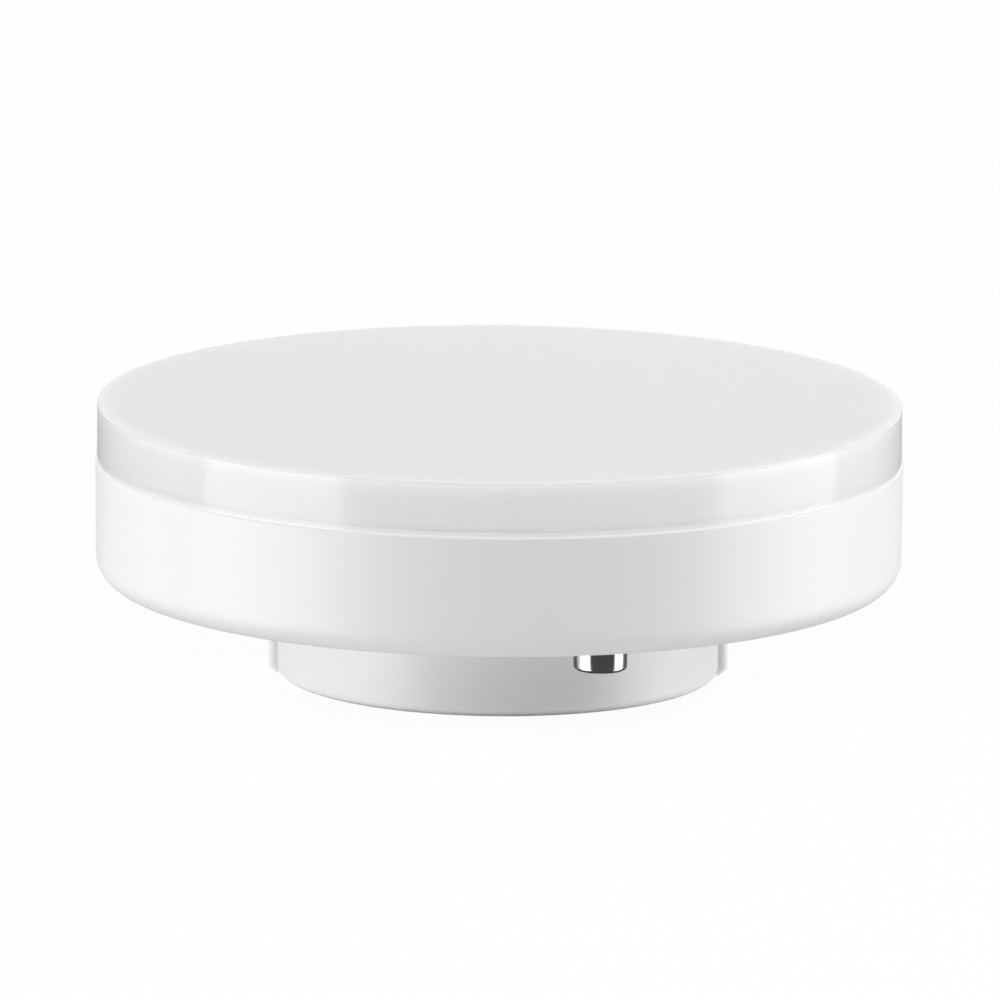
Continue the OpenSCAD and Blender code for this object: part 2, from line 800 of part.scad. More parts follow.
// Bobbin: square tube, two flanges that stand on the board, and four pins
module transformer_bobbin() {
    color("#e8e4d8") {
        translate([transformer_at[0], transformer_at[1], core_z])
            difference() {
                union() {
                    x_block(bobbin_l, bobbin_tube_w, bobbin_tube_h);
                    for (s = [-1, 1])
                        translate([s * (bobbin_l - bobbin_flange_t) / 2, 0, 0])
                            x_block(bobbin_flange_t, bobbin_flange_w, bobbin_h);
                }
                x_block(bobbin_l + past, core_middle_w + 2 * slip, core_size[2] + 2 * slip);
            }
        for (x = [-1, 1])
            translate([
                transformer_at[0] + x * bobbin_pin_x - bobbin_foot_w / 2,
                transformer_at[1] - bobbin_flange_w / 2,
                driver_top_z
            ])
                cube([bobbin_foot_w, bobbin_flange_w, bobbin_foot_h]);
        leads(bobbin_pins(), bobbin_foot_h / 2);
    }
}

// Copper winding under its yellow tape
module transformer_winding() {
    round_r = winding_w / 5;
    round_y = winding_w / 2 - round_r;
    round_z = winding_h / 2 - round_r;
    color("#e0b93c")
        translate([transformer_at[0], transformer_at[1], core_z])
            difference() {
                union() {
                    x_block(winding_l, winding_w - 2 * round_r, winding_h);
                    x_block(winding_l, winding_w, winding_h - 2 * round_r);
                    for (y = [-1, 1], z = [-1, 1])
                        translate([-winding_l / 2, y * round_y, z * round_z])
                            rotate([0, 90, 0]) cylinder(r = round_r, h = winding_l, $fn = 32);
                }
                x_block(winding_l + past, bobbin_tube_w, bobbin_tube_h);
            }
}

// Points of a flat route whose corners are rounded to radius r. Corners are [u, v] pairs
function bend_points(a, b, c, r, steps = 5) =
    let (
        in_dir = (b - a) / norm(b - a),
        out_dir = (c - b) / norm(c - b),
        turn = acos(in_dir * out_dir),
        cut = r * tan(turn / 2),
        side = sign(in_dir[0] * out_dir[1] - in_dir[1] * out_dir[0]),
        start = b - cut * in_dir,
        centre = start + side * r * [-in_dir[1], in_dir[0]]
    )
    [for (i = [0:steps])
        let (t = side * turn * i / steps, d = start - centre)
            centre + [d[0] * cos(t) - d[1] * sin(t), d[0] * sin(t) + d[1] * cos(t)]];

function rounded_route(corners, r) = concat(
    [corners[0]],
    [for (i = [1:len(corners) - 2]) each bend_points(corners[i - 1], corners[i], corners[i + 1], r)],
    [corners[len(corners) - 1]]
);

// Round tube along a flat route in the YZ plane
module flat_tube(route, d) {
    n = len(route);
    function heading(i) =
        let (v = route[min(i + 1, n - 1)] - route[max(i - 1, 0)])
            v / norm(v);
    points = [
        for (i = [0:n - 1], k = [0:wire_sides - 1])
            let (
                a = 360 * (k + 0.5) / wire_sides,
                h = heading(i),
                out = d / 2 * cos(a)
            )
                [d / 2 * sin(a), route[i][0] - h[1] * out, route[i][1] + h[0] * out]
    ];
    sides = [
        for (i = [0:n - 2], k = [0:wire_sides - 1])
            let (k2 = (k + 1) % wire_sides, here = i * wire_sides, there = here + wire_sides)
                [here + k, here + k2, there + k2, there + k]
    ];
    ends = [
        [for (k = [wire_sides - 1:-1:0]) k],
        [for (k = [0:wire_sides - 1]) (n - 1) * wire_sides + k]
    ];
    polyhedron(points = points, faces = concat(sides, ends), convexity = 6);
}

// Route from a pin's inner end over the drum's floor and down into the driver board
module supply_wire(side) {
    level_z = spreader_z - pass_gap - wire_d / 2;
    corners = [
        [pin_ring_r, pin_top_z - pin_hole_depth + slip],
        [pin_ring_r, level_z],
        [supply_pad_r, level_z],
        [supply_pad_r, driver_z - lead_out]
    ];
    rotate([0, 0, side > 0 ? 0 : 180]) flat_tube(rounded_route(corners, wire_bend_r), wire_d);
}

// Route from the driver board up through the slot and over to its pad on the LED board
module led_wire(y) {
    level_z = led_board_top_z + led_wire_rise;
    corners = [
        [led_wire_x, driver_z - lead_out],
        [led_wire_x, level_z],
        [led_pad_x, level_z],
        [led_pad_x, led_board_top_z + solder_h / 3]
    ];
    translate([0, y, 0]) rotate([0, 0, -90]) flat_tube(rounded_route(corners, wire_d), wire_d);
}

diffuser();
housing();
contact_pin(-1);  // contact_pin_1
contact_pin(1);  // contact_pin_2
heat_spreader();
led_board();
led_packages();
led_phosphors();
board_screws();
led_board_solder();
driver_board();
bridge_rectifier();
driver_chip();
output_diode();
fusible_resistor();
varistor();
film_capacitor();
input_capacitor();
output_capacitor();
transformer_core();
transformer_bobbin();
transformer_winding();
chip_resistors();
chip_capacitors();
color("#a0522d") supply_wire(-1);  // live_wire
color("#3467b0") supply_wire(1);  // neutral_wire
color("#c8342b") led_wire(led_wire_ys[1]);  // led_wire_positive
color("#1c1c1e") led_wire(led_wire_ys[0]);  // led_wire_negative
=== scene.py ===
import math

import bmesh
import bpy
from bpy.props import FloatProperty, FloatVectorProperty, IntProperty, PointerProperty
from mathutils import Matrix, Vector


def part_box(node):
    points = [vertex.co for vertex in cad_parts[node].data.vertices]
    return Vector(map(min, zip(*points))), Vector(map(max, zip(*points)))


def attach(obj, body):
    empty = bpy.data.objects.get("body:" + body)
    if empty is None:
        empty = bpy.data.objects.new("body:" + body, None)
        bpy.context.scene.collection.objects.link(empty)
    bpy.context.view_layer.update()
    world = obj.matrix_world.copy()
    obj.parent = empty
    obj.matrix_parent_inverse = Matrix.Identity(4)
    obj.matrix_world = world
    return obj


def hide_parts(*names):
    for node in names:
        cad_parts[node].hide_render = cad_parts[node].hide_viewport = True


bl_info = {
    "name": "LED disc lamp",
    "version": (1, 0, 0),
    "blender": (4, 5, 0),
    "location": "3D View > Sidebar > Disc Lamp",
    "description": "Builds the shells, pins, inner pieces, finishes and stage of a round LED lamp",
    "category": "Object",
}

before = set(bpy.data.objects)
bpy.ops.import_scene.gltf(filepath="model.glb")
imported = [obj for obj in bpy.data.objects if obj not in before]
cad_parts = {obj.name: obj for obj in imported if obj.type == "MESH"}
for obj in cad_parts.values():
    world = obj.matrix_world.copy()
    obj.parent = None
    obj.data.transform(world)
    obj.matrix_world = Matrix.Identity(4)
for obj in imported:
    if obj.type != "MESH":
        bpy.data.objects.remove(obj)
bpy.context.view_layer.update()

MM = 0.001
SHELL_LOW, SHELL_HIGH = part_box("housing")
COVER_LOW, COVER_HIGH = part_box("diffuser")
PIN_LOW, PIN_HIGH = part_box("contact_pin_2")
BOARD_LOW, BOARD_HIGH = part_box("driver_board")
LED_BOARD_LOW, LED_BOARD_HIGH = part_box("led_board")
DISH_LOW, DISH_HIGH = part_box("heat_spreader")


# Mesh helpers


def new_piece(name, bm, material, sharp_deg=32):
    """Turns a bmesh into an object at the origin, smooth except along its sharp edges."""
    mesh = bpy.data.meshes.new(name)
    bm.to_mesh(mesh)
    bm.free()
    mesh.shade_smooth()
    mesh.set_sharp_from_angle(angle=math.radians(sharp_deg))
    piece = bpy.data.objects.new(name, mesh)
    piece.data.materials.append(material)
    bpy.context.scene.collection.objects.link(piece)
    return piece


def join_shape(target, source):
    """Adds the faces of one bmesh to another."""
    mesh = bpy.data.meshes.new("shape")
    source.to_mesh(mesh)
    source.free()
    target.from_mesh(mesh)
    bpy.data.meshes.remove(mesh)


def section_shape(section):
    """A closed section in the XZ plane. Each point is (x, z) or (x, z, rounding, steps)."""
    bm = bmesh.new()
    ring = [bm.verts.new((point[0], 0.0, point[1])) for point in section]
    for first, second in zip(ring, ring[1:] + ring[:1]):
        bm.edges.new((first, second))
    for vert, point in zip(ring, section):
        if len(point) > 2:
            bmesh.ops.bevel(
                bm,
                geom=[vert],
                offset=point[2] / turn_share(vert),
                offset_type="OFFSET",
                segments=point[3],
                profile=0.5,
                affect="VERTICES",
                material=-1,
            )
    return bm


def turn_share(vert):
    """How far a corner's rounding reaches along its edges, for a radius of 1, as the bevel measures it."""
    first, second = [(edge.other_vert(vert).co - vert.co).normalized() for edge in vert.link_edges]
    half = first.angle(second) / 2
    return math.tan(half)


def revolve(bm, steps, angle=2 * math.pi, start=0.0):
    """Turns a section about Z into a closed solid."""
    bmesh.ops.rotate(bm, verts=bm.verts[:], cent=(0, 0, 0), matrix=Matrix.Rotation(start, 3, "Z"))
    whole = angle > 2 * math.pi - 1e-6
    ring = bm.edges[:]
    bmesh.ops.spin(
        bm,
        geom=bm.verts[:] + ring,
        cent=(0, 0, 0),
        axis=(0, 0, 1),
        angle=angle,
        steps=steps,
        use_merge=whole,
    )
    bmesh.ops.remove_doubles(bm, verts=bm.verts[:], dist=1e-7)
    if not whole:
        open_edges = [edge for edge in bm.edges if edge.is_boundary]
        bmesh.ops.holes_fill(bm, edges=open_edges, sides=0)
    stray = [edge for edge in bm.edges if not edge.link_faces]
    bmesh.ops.delete(bm, geom=stray, context="EDGES")
    bmesh.ops.recalc_face_normals(bm, faces=bm.faces[:])
    return bm


def turned(section, steps, at=(0, 0, 0)):
    """A solid of revolution with its own axis at a place."""
    bm = revolve(section_shape(section), steps)
    bmesh.ops.translate(bm, verts=bm.verts[:], vec=at)
    return bm


def block(size, centre, turn_deg=0.0, edge=0.0, steps=2):
    """A block with its edges rounded, turned about Z."""
    bm = bmesh.new()
    bmesh.ops.create_cube(bm, size=1.0)
    bmesh.ops.scale(bm, verts=bm.verts[:], vec=size)
    if edge:
        bmesh.ops.bevel(
            bm,
            geom=bm.edges[:],
            offset=edge,
            offset_type="OFFSET",
            segments=steps,
            profile=0.5,
            affect="EDGES",
            material=-1,
        )
    bmesh.ops.translate(bm, verts=bm.verts[:], vec=centre)
    bmesh.ops.rotate(
        bm, verts=bm.verts[:], cent=(0, 0, 0), matrix=Matrix.Rotation(math.radians(turn_deg), 3, "Z")
    )
    return bm


def slab(outline, width, turn_deg=0.0, edge=0.0, beyond=0.0):
    """A flat outline of (x, z) points, given a width along Y. Past an X its two faces have rounded edges."""
    bm = bmesh.new()
    near, far = ([bm.verts.new((x, y, z)) for x, z in outline] for y in (-width / 2, width / 2))
    bm.faces.new(near)
    bm.faces.new(far)
    for first, second in zip(range(len(outline)), [*range(1, len(outline)), 0]):
        bm.faces.new((near[first], near[second], far[second], far[first]))
    if edge:
        rounded = [
            line
            for line in bm.edges
            if all(vert.co.x > beyond for vert in line.verts)
            and line.verts[0].co.y == line.verts[1].co.y
        ]
        bmesh.ops.bevel(
            bm,
            geom=rounded,
            offset=edge,
            offset_type="OFFSET",
            segments=4,
            profile=0.5,
            affect="EDGES",
            material=-1,
        )
    bmesh.ops.recalc_face_normals(bm, faces=bm.faces[:])
    bmesh.ops.rotate(
        bm, verts=bm.verts[:], cent=(0, 0, 0), matrix=Matrix.Rotation(math.radians(turn_deg), 3, "Z")
    )
    return bm


def bent_tube(corners, bend_radius, tube_radius, sides=20, bend_steps=8):
    """A closed round tube along a route of points in one plane, with round bends at its inner corners."""
    corners = [Vector(corner) for corner in corners]
    bm = bmesh.new()
    heading = (corners[1] - corners[0]).normalized()
    turn = heading.to_track_quat("Z", "Y").to_matrix().to_4x4()
    bmesh.ops.create_circle(
        bm,
        cap_ends=True,
        segments=sides,
        radius=tube_radius,
        matrix=Matrix.Translation(corners[0]) @ turn,
    )
    ring = bm.edges[:]
    here = corners[0]
    for corner, after in zip(corners[1:], corners[2:] + [None]):
        leg = corner - here
        if after is None:
            ring = push_ring(bm, ring, leg)
            break
        onward = (after - corner).normalized()
        bend = heading.angle(onward)
        cut = bend_radius * math.tan(bend / 2)
        ring = push_ring(bm, ring, leg - heading * cut)
        axis = heading.cross(onward).normalized()
        centre = corner - heading * cut + axis.cross(heading) * bend_radius
        rounded = bmesh.ops.spin(
            bm,
            geom=ring + list({vert for edge in ring for vert in edge.verts}),
            cent=centre,
            axis=axis,
            angle=bend,
            steps=bend_steps,
        )
        ring = [item for item in rounded["geom_last"] if isinstance(item, bmesh.types.BMEdge)]
        here, heading = corner + onward * cut, onward
    bmesh.ops.holes_fill(bm, edges=ring, sides=0)
    bmesh.ops.remove_doubles(bm, verts=bm.verts[:], dist=1e-7)
    bmesh.ops.recalc_face_normals(bm, faces=bm.faces[:])
    return bm


def push_ring(bm, ring, step):
    """Extrudes a ring of edges along a step and returns the new ring."""
    if step.length < 1e-6:
        return ring
    grown = bmesh.ops.extrude_edge_only(bm, edges=ring)["geom"]
    bmesh.ops.translate(
        bm, verts=[item for item in grown if isinstance(item, bmesh.types.BMVert)], vec=step
    )
    fresh = {item for item in grown if isinstance(item, bmesh.types.BMVert)}
    return [
        item for item in grown if isinstance(item, bmesh.types.BMEdge) and set(item.verts) <= fresh
    ]


def polar(radius, degrees):
    """A point on a circle in the XY plane."""
    return Vector((radius * math.cos(math.radians(degrees)), radius * math.sin(math.radians(degrees)), 0.0))


# Shader node helpers


def node(tree, kind, **values):
    """Adds a node and sets its properties, and its inputs by name or number."""
    made = tree.nodes.new(kind)
    inputs = values.pop("inputs", {})
    for key, value in values.items():
        setattr(made, key, value)
    for key, value in inputs.items():
        made.inputs[key].default_value = value
    return made


def math_node(tree, operation, first, second=None, clamp=False):
    """Adds a Math node fed by sockets or numbers, and returns its output."""
    made = node(tree, "ShaderNodeMath", operation=operation, use_clamp=clamp)
    for index, value in enumerate((first, second)):
        if value is None:
            continue
        if isinstance(value, (int, float)):
            made.inputs[index].default_value = value
        else:
            tree.links.new(value, made.inputs[index])
    return made.outputs[0]


def mix_colour(tree, factor, first, second):
    """Adds a colour Mix node fed by sockets or colours, and returns its output."""
    made = node(tree, "ShaderNodeMix", data_type="RGBA")
    for index, value in ((0, factor), (6, first), (7, second)):
        if isinstance(value, (int, float, tuple, list)):
            made.inputs[index].default_value = value if index == 0 else (*value[:3], 1.0)
        else:
            tree.links.new(value, made.inputs[index])
    return made.outputs[2]


def new_group(name, inputs, outputs):
    """Starts a shader node group with named inputs and outputs, or returns None if it is there."""
    tree = bpy.data.node_groups.new(name, "ShaderNodeTree")
    for socket_name, socket_type, default in inputs:
        socket = tree.interface.new_socket(socket_name, in_out="INPUT", socket_type=socket_type)
        socket.default_value = default
    for socket_name, socket_type in outputs:
        tree.interface.new_socket(socket_name, in_out="OUTPUT", socket_type=socket_type)
    return tree, tree.nodes.new("NodeGroupInput"), tree.nodes.new("NodeGroupOutput")


def moulded_grain_group():
    """Fine grain, slow drift of colour and uneven gloss of a moulded, cast or rolled surface."""
    name = "Moulded grain"
    if name in bpy.data.node_groups:
        return bpy.data.node_groups[name]
    tree, given, result = new_group(
        name,
        [
            ("Color", "NodeSocketColor", (0.8, 0.8, 0.8, 1.0)),
            ("Drift", "NodeSocketFloat", 0.02),
            ("Drift Scale", "NodeSocketFloat", 60.0),
            ("Roughness", "NodeSocketFloat", 0.4),
            ("Roughness Spread", "NodeSocketFloat", 0.05),
            ("Grain Scale", "NodeSocketFloat", 4000.0),
            ("Stretch", "NodeSocketVector", (1.0, 1.0, 1.0)),
        ],
        [("Color", "NodeSocketColor"), ("Roughness", "NodeSocketFloat"), ("Height", "NodeSocketFloat")],
    )
    place = tree.nodes.new("ShaderNodeTexCoord").outputs["Object"]
    stretched = node(tree, "ShaderNodeVectorMath", operation="MULTIPLY")
    tree.links.new(place, stretched.inputs[0])
    tree.links.new(given.outputs["Stretch"], stretched.inputs[1])
    slow = node(tree, "ShaderNodeTexNoise", inputs={"Detail": 3.0, "Roughness": 0.55})
    tree.links.new(place, slow.inputs["Vector"])
    tree.links.new(given.outputs["Drift Scale"], slow.inputs["Scale"])
    fine = node(tree, "ShaderNodeTexNoise", inputs={"Detail": 2.0, "Roughness": 0.6})
    tree.links.new(stretched.outputs[0], fine.inputs["Vector"])
    tree.links.new(given.outputs["Grain Scale"], fine.inputs["Scale"])
    swing = math_node(tree, "SUBTRACT", slow.outputs["Fac"], 0.5)
    shade = math_node(tree, "MULTIPLY", swing, given.outputs["Drift"])
    gain = math_node(tree, "ADD", shade, 1.0)
    tinted = node(tree, "ShaderNodeVectorMath", operation="SCALE")
    tree.links.new(given.outputs["Color"], tinted.inputs[0])
    tree.links.new(gain, tinted.inputs["Scale"])
    tree.links.new(tinted.outputs[0], result.inputs["Color"])
    both = math_node(tree, "ADD", swing, math_node(tree, "SUBTRACT", fine.outputs["Fac"], 0.5))
    spread = math_node(tree, "MULTIPLY", both, given.outputs["Roughness Spread"])
    tree.links.new(
        math_node(tree, "ADD", spread, given.outputs["Roughness"], clamp=True), result.inputs["Roughness"]
    )
    tree.links.new(fine.outputs["Fac"], result.inputs["Height"])
    return tree


def box_mask_group():
    """1 inside a box given by its centre and half size, and 0 outside it."""
    name = "Box mask"
    if name in bpy.data.node_groups:
        return bpy.data.node_groups[name]
    tree, given, result = new_group(
        name,
        [
            ("Centre", "NodeSocketVector", (0.0, 0.0, 0.0)),
            ("Half Size", "NodeSocketVector", (1.0, 1.0, 1.0)),
        ],
        [("Mask", "NodeSocketFloat")],
    )
    place = tree.nodes.new("ShaderNodeTexCoord").outputs["Object"]
    away = node(tree, "ShaderNodeVectorMath", operation="SUBTRACT")
    tree.links.new(place, away.inputs[0])
    tree.links.new(given.outputs["Centre"], away.inputs[1])
    size = node(tree, "ShaderNodeVectorMath", operation="ABSOLUTE")
    tree.links.new(away.outputs[0], size.inputs[0])
    room = node(tree, "ShaderNodeVectorMath", operation="SUBTRACT")
    tree.links.new(given.outputs["Half Size"], room.inputs[0])
    tree.links.new(size.outputs[0], room.inputs[1])
    parts = node(tree, "ShaderNodeSeparateXYZ")
    tree.links.new(room.outputs[0], parts.inputs[0])
    least = math_node(
        tree, "MINIMUM", parts.outputs[0], math_node(tree, "MINIMUM", parts.outputs[1], parts.outputs[2])
    )
    tree.links.new(math_node(tree, "GREATER_THAN", least, 0.0), result.inputs["Mask"])
    return tree


def ring_mask_group():
    """1 where the distance from an upright axis lies near a radius, with soft sides."""
    name = "Ring mask"
    if name in bpy.data.node_groups:
        return bpy.data.node_groups[name]
    tree, given, result = new_group(
        name,
        [
            ("Axis Point", "NodeSocketVector", (0.0, 0.0, 0.0)),
            ("Radius", "NodeSocketFloat", 0.01),
            ("Half Width", "NodeSocketFloat", 0.001),
            ("Softness", "NodeSocketFloat", 0.0001),
        ],
        [("Mask", "NodeSocketFloat"), ("Distance", "NodeSocketFloat")],
    )
    place = tree.nodes.new("ShaderNodeTexCoord").outputs["Object"]
    away = node(tree, "ShaderNodeVectorMath", operation="SUBTRACT")
    tree.links.new(place, away.inputs[0])
    tree.links.new(given.outputs["Axis Point"], away.inputs[1])
    flat = node(tree, "ShaderNodeVectorMath", operation="MULTIPLY", inputs={1: (1.0, 1.0, 0.0)})
    tree.links.new(away.outputs[0], flat.inputs[0])
    length = node(tree, "ShaderNodeVectorMath", operation="LENGTH")
    tree.links.new(flat.outputs[0], length.inputs[0])
    off = math_node(
        tree, "ABSOLUTE", math_node(tree, "SUBTRACT", length.outputs["Value"], given.outputs["Radius"])
    )
    room = math_node(tree, "SUBTRACT", given.outputs["Half Width"], off)
    soft = math_node(tree, "DIVIDE", room, given.outputs["Softness"])
    tree.links.new(math_node(tree, "ADD", soft, 0.5, clamp=True), result.inputs["Mask"])
    tree.links.new(length.outputs["Value"], result.inputs["Distance"])
    return tree


def place_group(tree, group, **values):
    """Places a node group in a material with its own values."""
    made = tree.nodes.new("ShaderNodeGroup")
    made.node_tree = group
    for key, value in values.items():
        made.inputs[key.replace("_", " ")].default_value = value
    return made


class Finish:
    """A material with the moulded grain group already feeding its shader."""

    def __init__(
        self,
        name,
        colour,
        roughness,
        metallic=0.0,
        drift=0.04,
        drift_scale=80.0,
        spread=0.08,
        grain=5000.0,
        stretch=(1.0, 1.0, 1.0),
        bump=0.05,
        bump_depth=0.00002,
        ior=1.5,
    ):
        self.material = bpy.data.materials.new(name)
        self.material.use_nodes = True
        self.tree = self.material.node_tree
        self.shader = self.tree.nodes["Principled BSDF"]
        self.shader.inputs["Metallic"].default_value = metallic
        self.shader.inputs["IOR"].default_value = ior
        self.grain = place_group(
            self.tree,
            moulded_grain_group(),
            Color=(*colour, 1.0),
            Drift=drift,
            Drift_Scale=drift_scale,
            Roughness=roughness,
            Roughness_Spread=spread,
            Grain_Scale=grain,
            Stretch=stretch,
        )
        self.colour = self.grain.outputs["Color"]
        self.roughness = self.grain.outputs["Roughness"]
        self.height = self.grain.outputs["Height"]
        self.metallic = None
        self.bump = bump
        self.bump_depth = bump_depth

    def tint(self, mask, colour):
        """Gives the masked stretch another colour."""
        self.colour = mix_colour(self.tree, mask, self.colour, colour)

    def level(self, socket, mask, value):
        """Blends a value to another one where the mask is 1."""
        made = node(self.tree, "ShaderNodeMix", data_type="FLOAT")
        self.tree.links.new(mask, made.inputs[0])
        if isinstance(socket, (int, float)):
            made.inputs[2].default_value = socket
        else:
            self.tree.links.new(socket, made.inputs[2])
        made.inputs[3].default_value = value
        return made.outputs[0]

    def metal_where(self, mask, colour, roughness=0.28):
        """Makes the masked stretch bare metal."""
        self.tint(mask, colour)
        self.roughness = self.level(self.roughness, mask, roughness)
        base = 0.0 if self.metallic is None else self.metallic
        self.metallic = self.level(base, mask, 1.0)

    def box(self, low, high):
        """Mask of the stretch between two corners."""
        low, high = Vector(low), Vector(high)
        made = place_group(self.tree, box_mask_group(), Centre=(low + high) / 2, Half_Size=(high - low) / 2)
        return made.outputs["Mask"]

    def ring(self, radius, half_width, softness=0.00005, axis_point=(0.0, 0.0, 0.0)):
        """Mask of a ring around an upright axis."""
        made = place_group(
            self.tree,
            ring_mask_group(),
            Axis_Point=axis_point,
            Radius=radius,
            Half_Width=half_width,
            Softness=softness,
        )
        return made.outputs["Mask"]

    def box_of(self, cad_name, grow=(0.0, 0.0, 0.0)):
        """Mask of a CAD piece's own box, grown or shrunk on each axis."""
        low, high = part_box(cad_name)
        return self.box(low - Vector(grow), high + Vector(grow))

    def outside(self, mask):
        """1 where the mask is 0."""
        return math_node(self.tree, "SUBTRACT", 1.0, mask)

    def rings_at(self, points, radius, half_width):
        """Mask of one ring around each of several points on the XY plane."""
        return self.either(*[self.ring(radius, half_width, axis_point=(x, y, 0.0)) for x, y in points])

    def either(self, *masks):
        """Mask that is 1 where any of the masks is."""
        joined = masks[0]
        for mask in masks[1:]:
            joined = math_node(self.tree, "MAXIMUM", joined, mask)
        return joined

    def without(self, mask, hole):
        """A mask less another one."""
        return math_node(
            self.tree, "MULTIPLY", mask, math_node(self.tree, "SUBTRACT", 1.0, hole), clamp=True
        )

    def done(self):
        """Links what has been set up to the shader and returns the material."""
        bump = node(
            self.tree, "ShaderNodeBump", inputs={"Strength": self.bump, "Distance": self.bump_depth}
        )
        links = self.tree.links
        links.new(self.height, bump.inputs["Height"])
        links.new(bump.outputs[0], self.shader.inputs["Normal"])
        links.new(self.colour, self.shader.inputs["Base Color"])
        links.new(self.roughness, self.shader.inputs["Roughness"])
        if self.metallic is not None:
            links.new(self.metallic, self.shader.inputs["Metallic"])
        return self.material


# Sizes and colours that a user would change


def colour_property(name, description, default):
    return FloatVectorProperty(
        name=name, description=description, subtype="COLOR", size=3, min=0.0, max=1.0, default=default
    )


def length_property(name, description, default):
    return FloatProperty(
        name=name, description=description, default=default, min=0.0, unit="LENGTH", precision=5
    )


def level_property(name, description, default):
    return FloatProperty(name=name, description=description, default=default, min=0.0)


class LampSettings(bpy.types.PropertyGroup):
    drum_radius: length_property("Drum radius", "Outer radius of the drum", SHELL_HIGH.y)
    drum_edge: length_property("Drum edge", "Radius around the drum's underside", 2.5 * MM)
    rim_bevel: length_property("Rim bevel", "Round around the top of the rim", 0.15 * MM)
    wall: length_property("Wall", "Thickness of the housing's walls", 1.6 * MM)
    boss_radius: length_property("Boss radius", "Outer radius of the boss", 20.5 * MM)
    boss_height: length_property("Boss height", "Height of the boss under the drum", 8.8 * MM)
    draft: length_property("Draft", "How far the drum narrows towards the boss", 0.12 * MM)
    boss_edge: length_property("Boss edge", "Radius around the boss's end", 1.0 * MM)
    key_reach: length_property("Key reach", "How far a key stands out of the boss", 0.8 * MM)
    key_width: length_property("Key width", "Width of one key, around the boss", 3.0 * MM)
    key_edge: length_property("Key edge", "Round along a key's edges", 0.6 * MM)
    key_turn: FloatProperty(
        name="Key turn",
        description="Angle of the first key from the X axis",
        default=math.radians(-21),
        subtype="ANGLE",
    )
    cover_step: length_property("Cover step", "How far the diffuser stands back from the drum", 0.15 * MM)
    cover_face: length_property("Cover face", "Thickness of the diffuser's face", 1.5 * MM)
    cover_edge: length_property("Cover edge", "Radius around the diffuser's face", 0.24 * MM)
    spigot: length_property("Spigot", "How deep the diffuser enters the rim", 3.2 * MM)
    round_steps: IntProperty(
        name="Round steps", description="Steps around the large shells", default=288, min=48, max=512
    )
    shell_colour: colour_property("Housing", "Colour of the moulded housing", (0.885, 0.885, 0.88))
    cover_colour: colour_property("Diffuser", "Colour of the opal diffuser", (0.68, 0.68, 0.678))
    # Painted shade: a darker colour along the edge of the diffuser's face, which holds back the bright line that light
    # gives along that edge.
    corner_shade_colour: colour_property("Diffuser corner", "Colour along the edge of its face", (0.6, 0.6, 0.598))
    foot_colour: colour_property("Diffuser foot", "Colour of the solid foot of its skirt", (0.665, 0.665, 0.663))
    # Painted highlight: a lighter colour along the diffuser's lowest edge, at the seam, standing in for the bright
    # line of light along the rim.
    lip_highlight_colour: colour_property("Diffuser lip", "Colour of the diffuser's lower lip", (0.78, 0.78, 0.777))
    plating_colour: colour_property("Plating", "Colour of the contact pins' plating", (0.62, 0.61, 0.59))


class StageSettings(bpy.types.PropertyGroup):
    azimuth: FloatProperty(
        name="Azimuth",
        description="Camera's place around the lamp",
        default=math.radians(-20.9),
        subtype="ANGLE",
    )
    elevation: FloatProperty(
        name="Elevation",
        description="Camera's height above the horizon",
        default=math.radians(11.47),
        subtype="ANGLE",
    )
    roll: FloatProperty(
        name="Roll", description="Camera's turn about its own axis", default=math.radians(0.47), subtype="ANGLE"
    )
    distance: length_property("Distance", "Camera's distance from the lamp", 3.18)
    lens: FloatProperty(name="Lens", description="Focal length", default=1232.8, unit="CAMERA")
    left_low: level_property("Left softbox, lower part", "Brightness of the left softbox below the lamp", 1.91)
    left_high: level_property("Left softbox, upper part", "Brightness of the left softbox above the lamp", 0.37)
    right_box: level_property("Right softbox", "Brightness of the right softbox", 1.55)
    front_fill: level_property("Front fill", "Brightness of the fill that the opal diffuser takes", 0.76)
    flag: level_property("Flag", "Brightness of the grey flag around the camera", 0.0)
    flag_mirrored: level_property("Flag in gloss", "Brightness of the flag as gloss shows it", 0.08)
    front_high: level_property("Upper front", "Brightness of the light above the camera", 1.2)
    table_bounce: level_property("Table bounce", "Brightness of the light off the table", 0.22)
    ambient: level_property("Ambient", "Strength of the surrounding light from all round", 0.65)
    mirror_below: level_property("Dark below", "What polished metal shows of the ground", 0.08)
    mirror_behind: level_property("Table behind", "What gloss shows of the table behind the lamp", 0.4)
    contact_radius: length_property("Contact radius", "How far out the floor shades the boss", 20.7 * MM)
    floor_glow: level_property("Floor white", "Share of plain white in the floor that the camera sees", 0.93)


# Operators


def lamp_settings():
    return bpy.context.scene.disc_lamp


def stage_settings():
    return bpy.context.scene.disc_lamp_stage


def dress(cad_name, material):
    """Gives a CAD piece its finish."""
    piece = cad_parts[cad_name]
    for material_slot in piece.material_slots:
        material_slot.material = material
    return piece


def place(piece, cad_name, slot):
    """Lets a new piece stand for a CAD piece."""
    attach(piece, "root")
    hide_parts(cad_name)


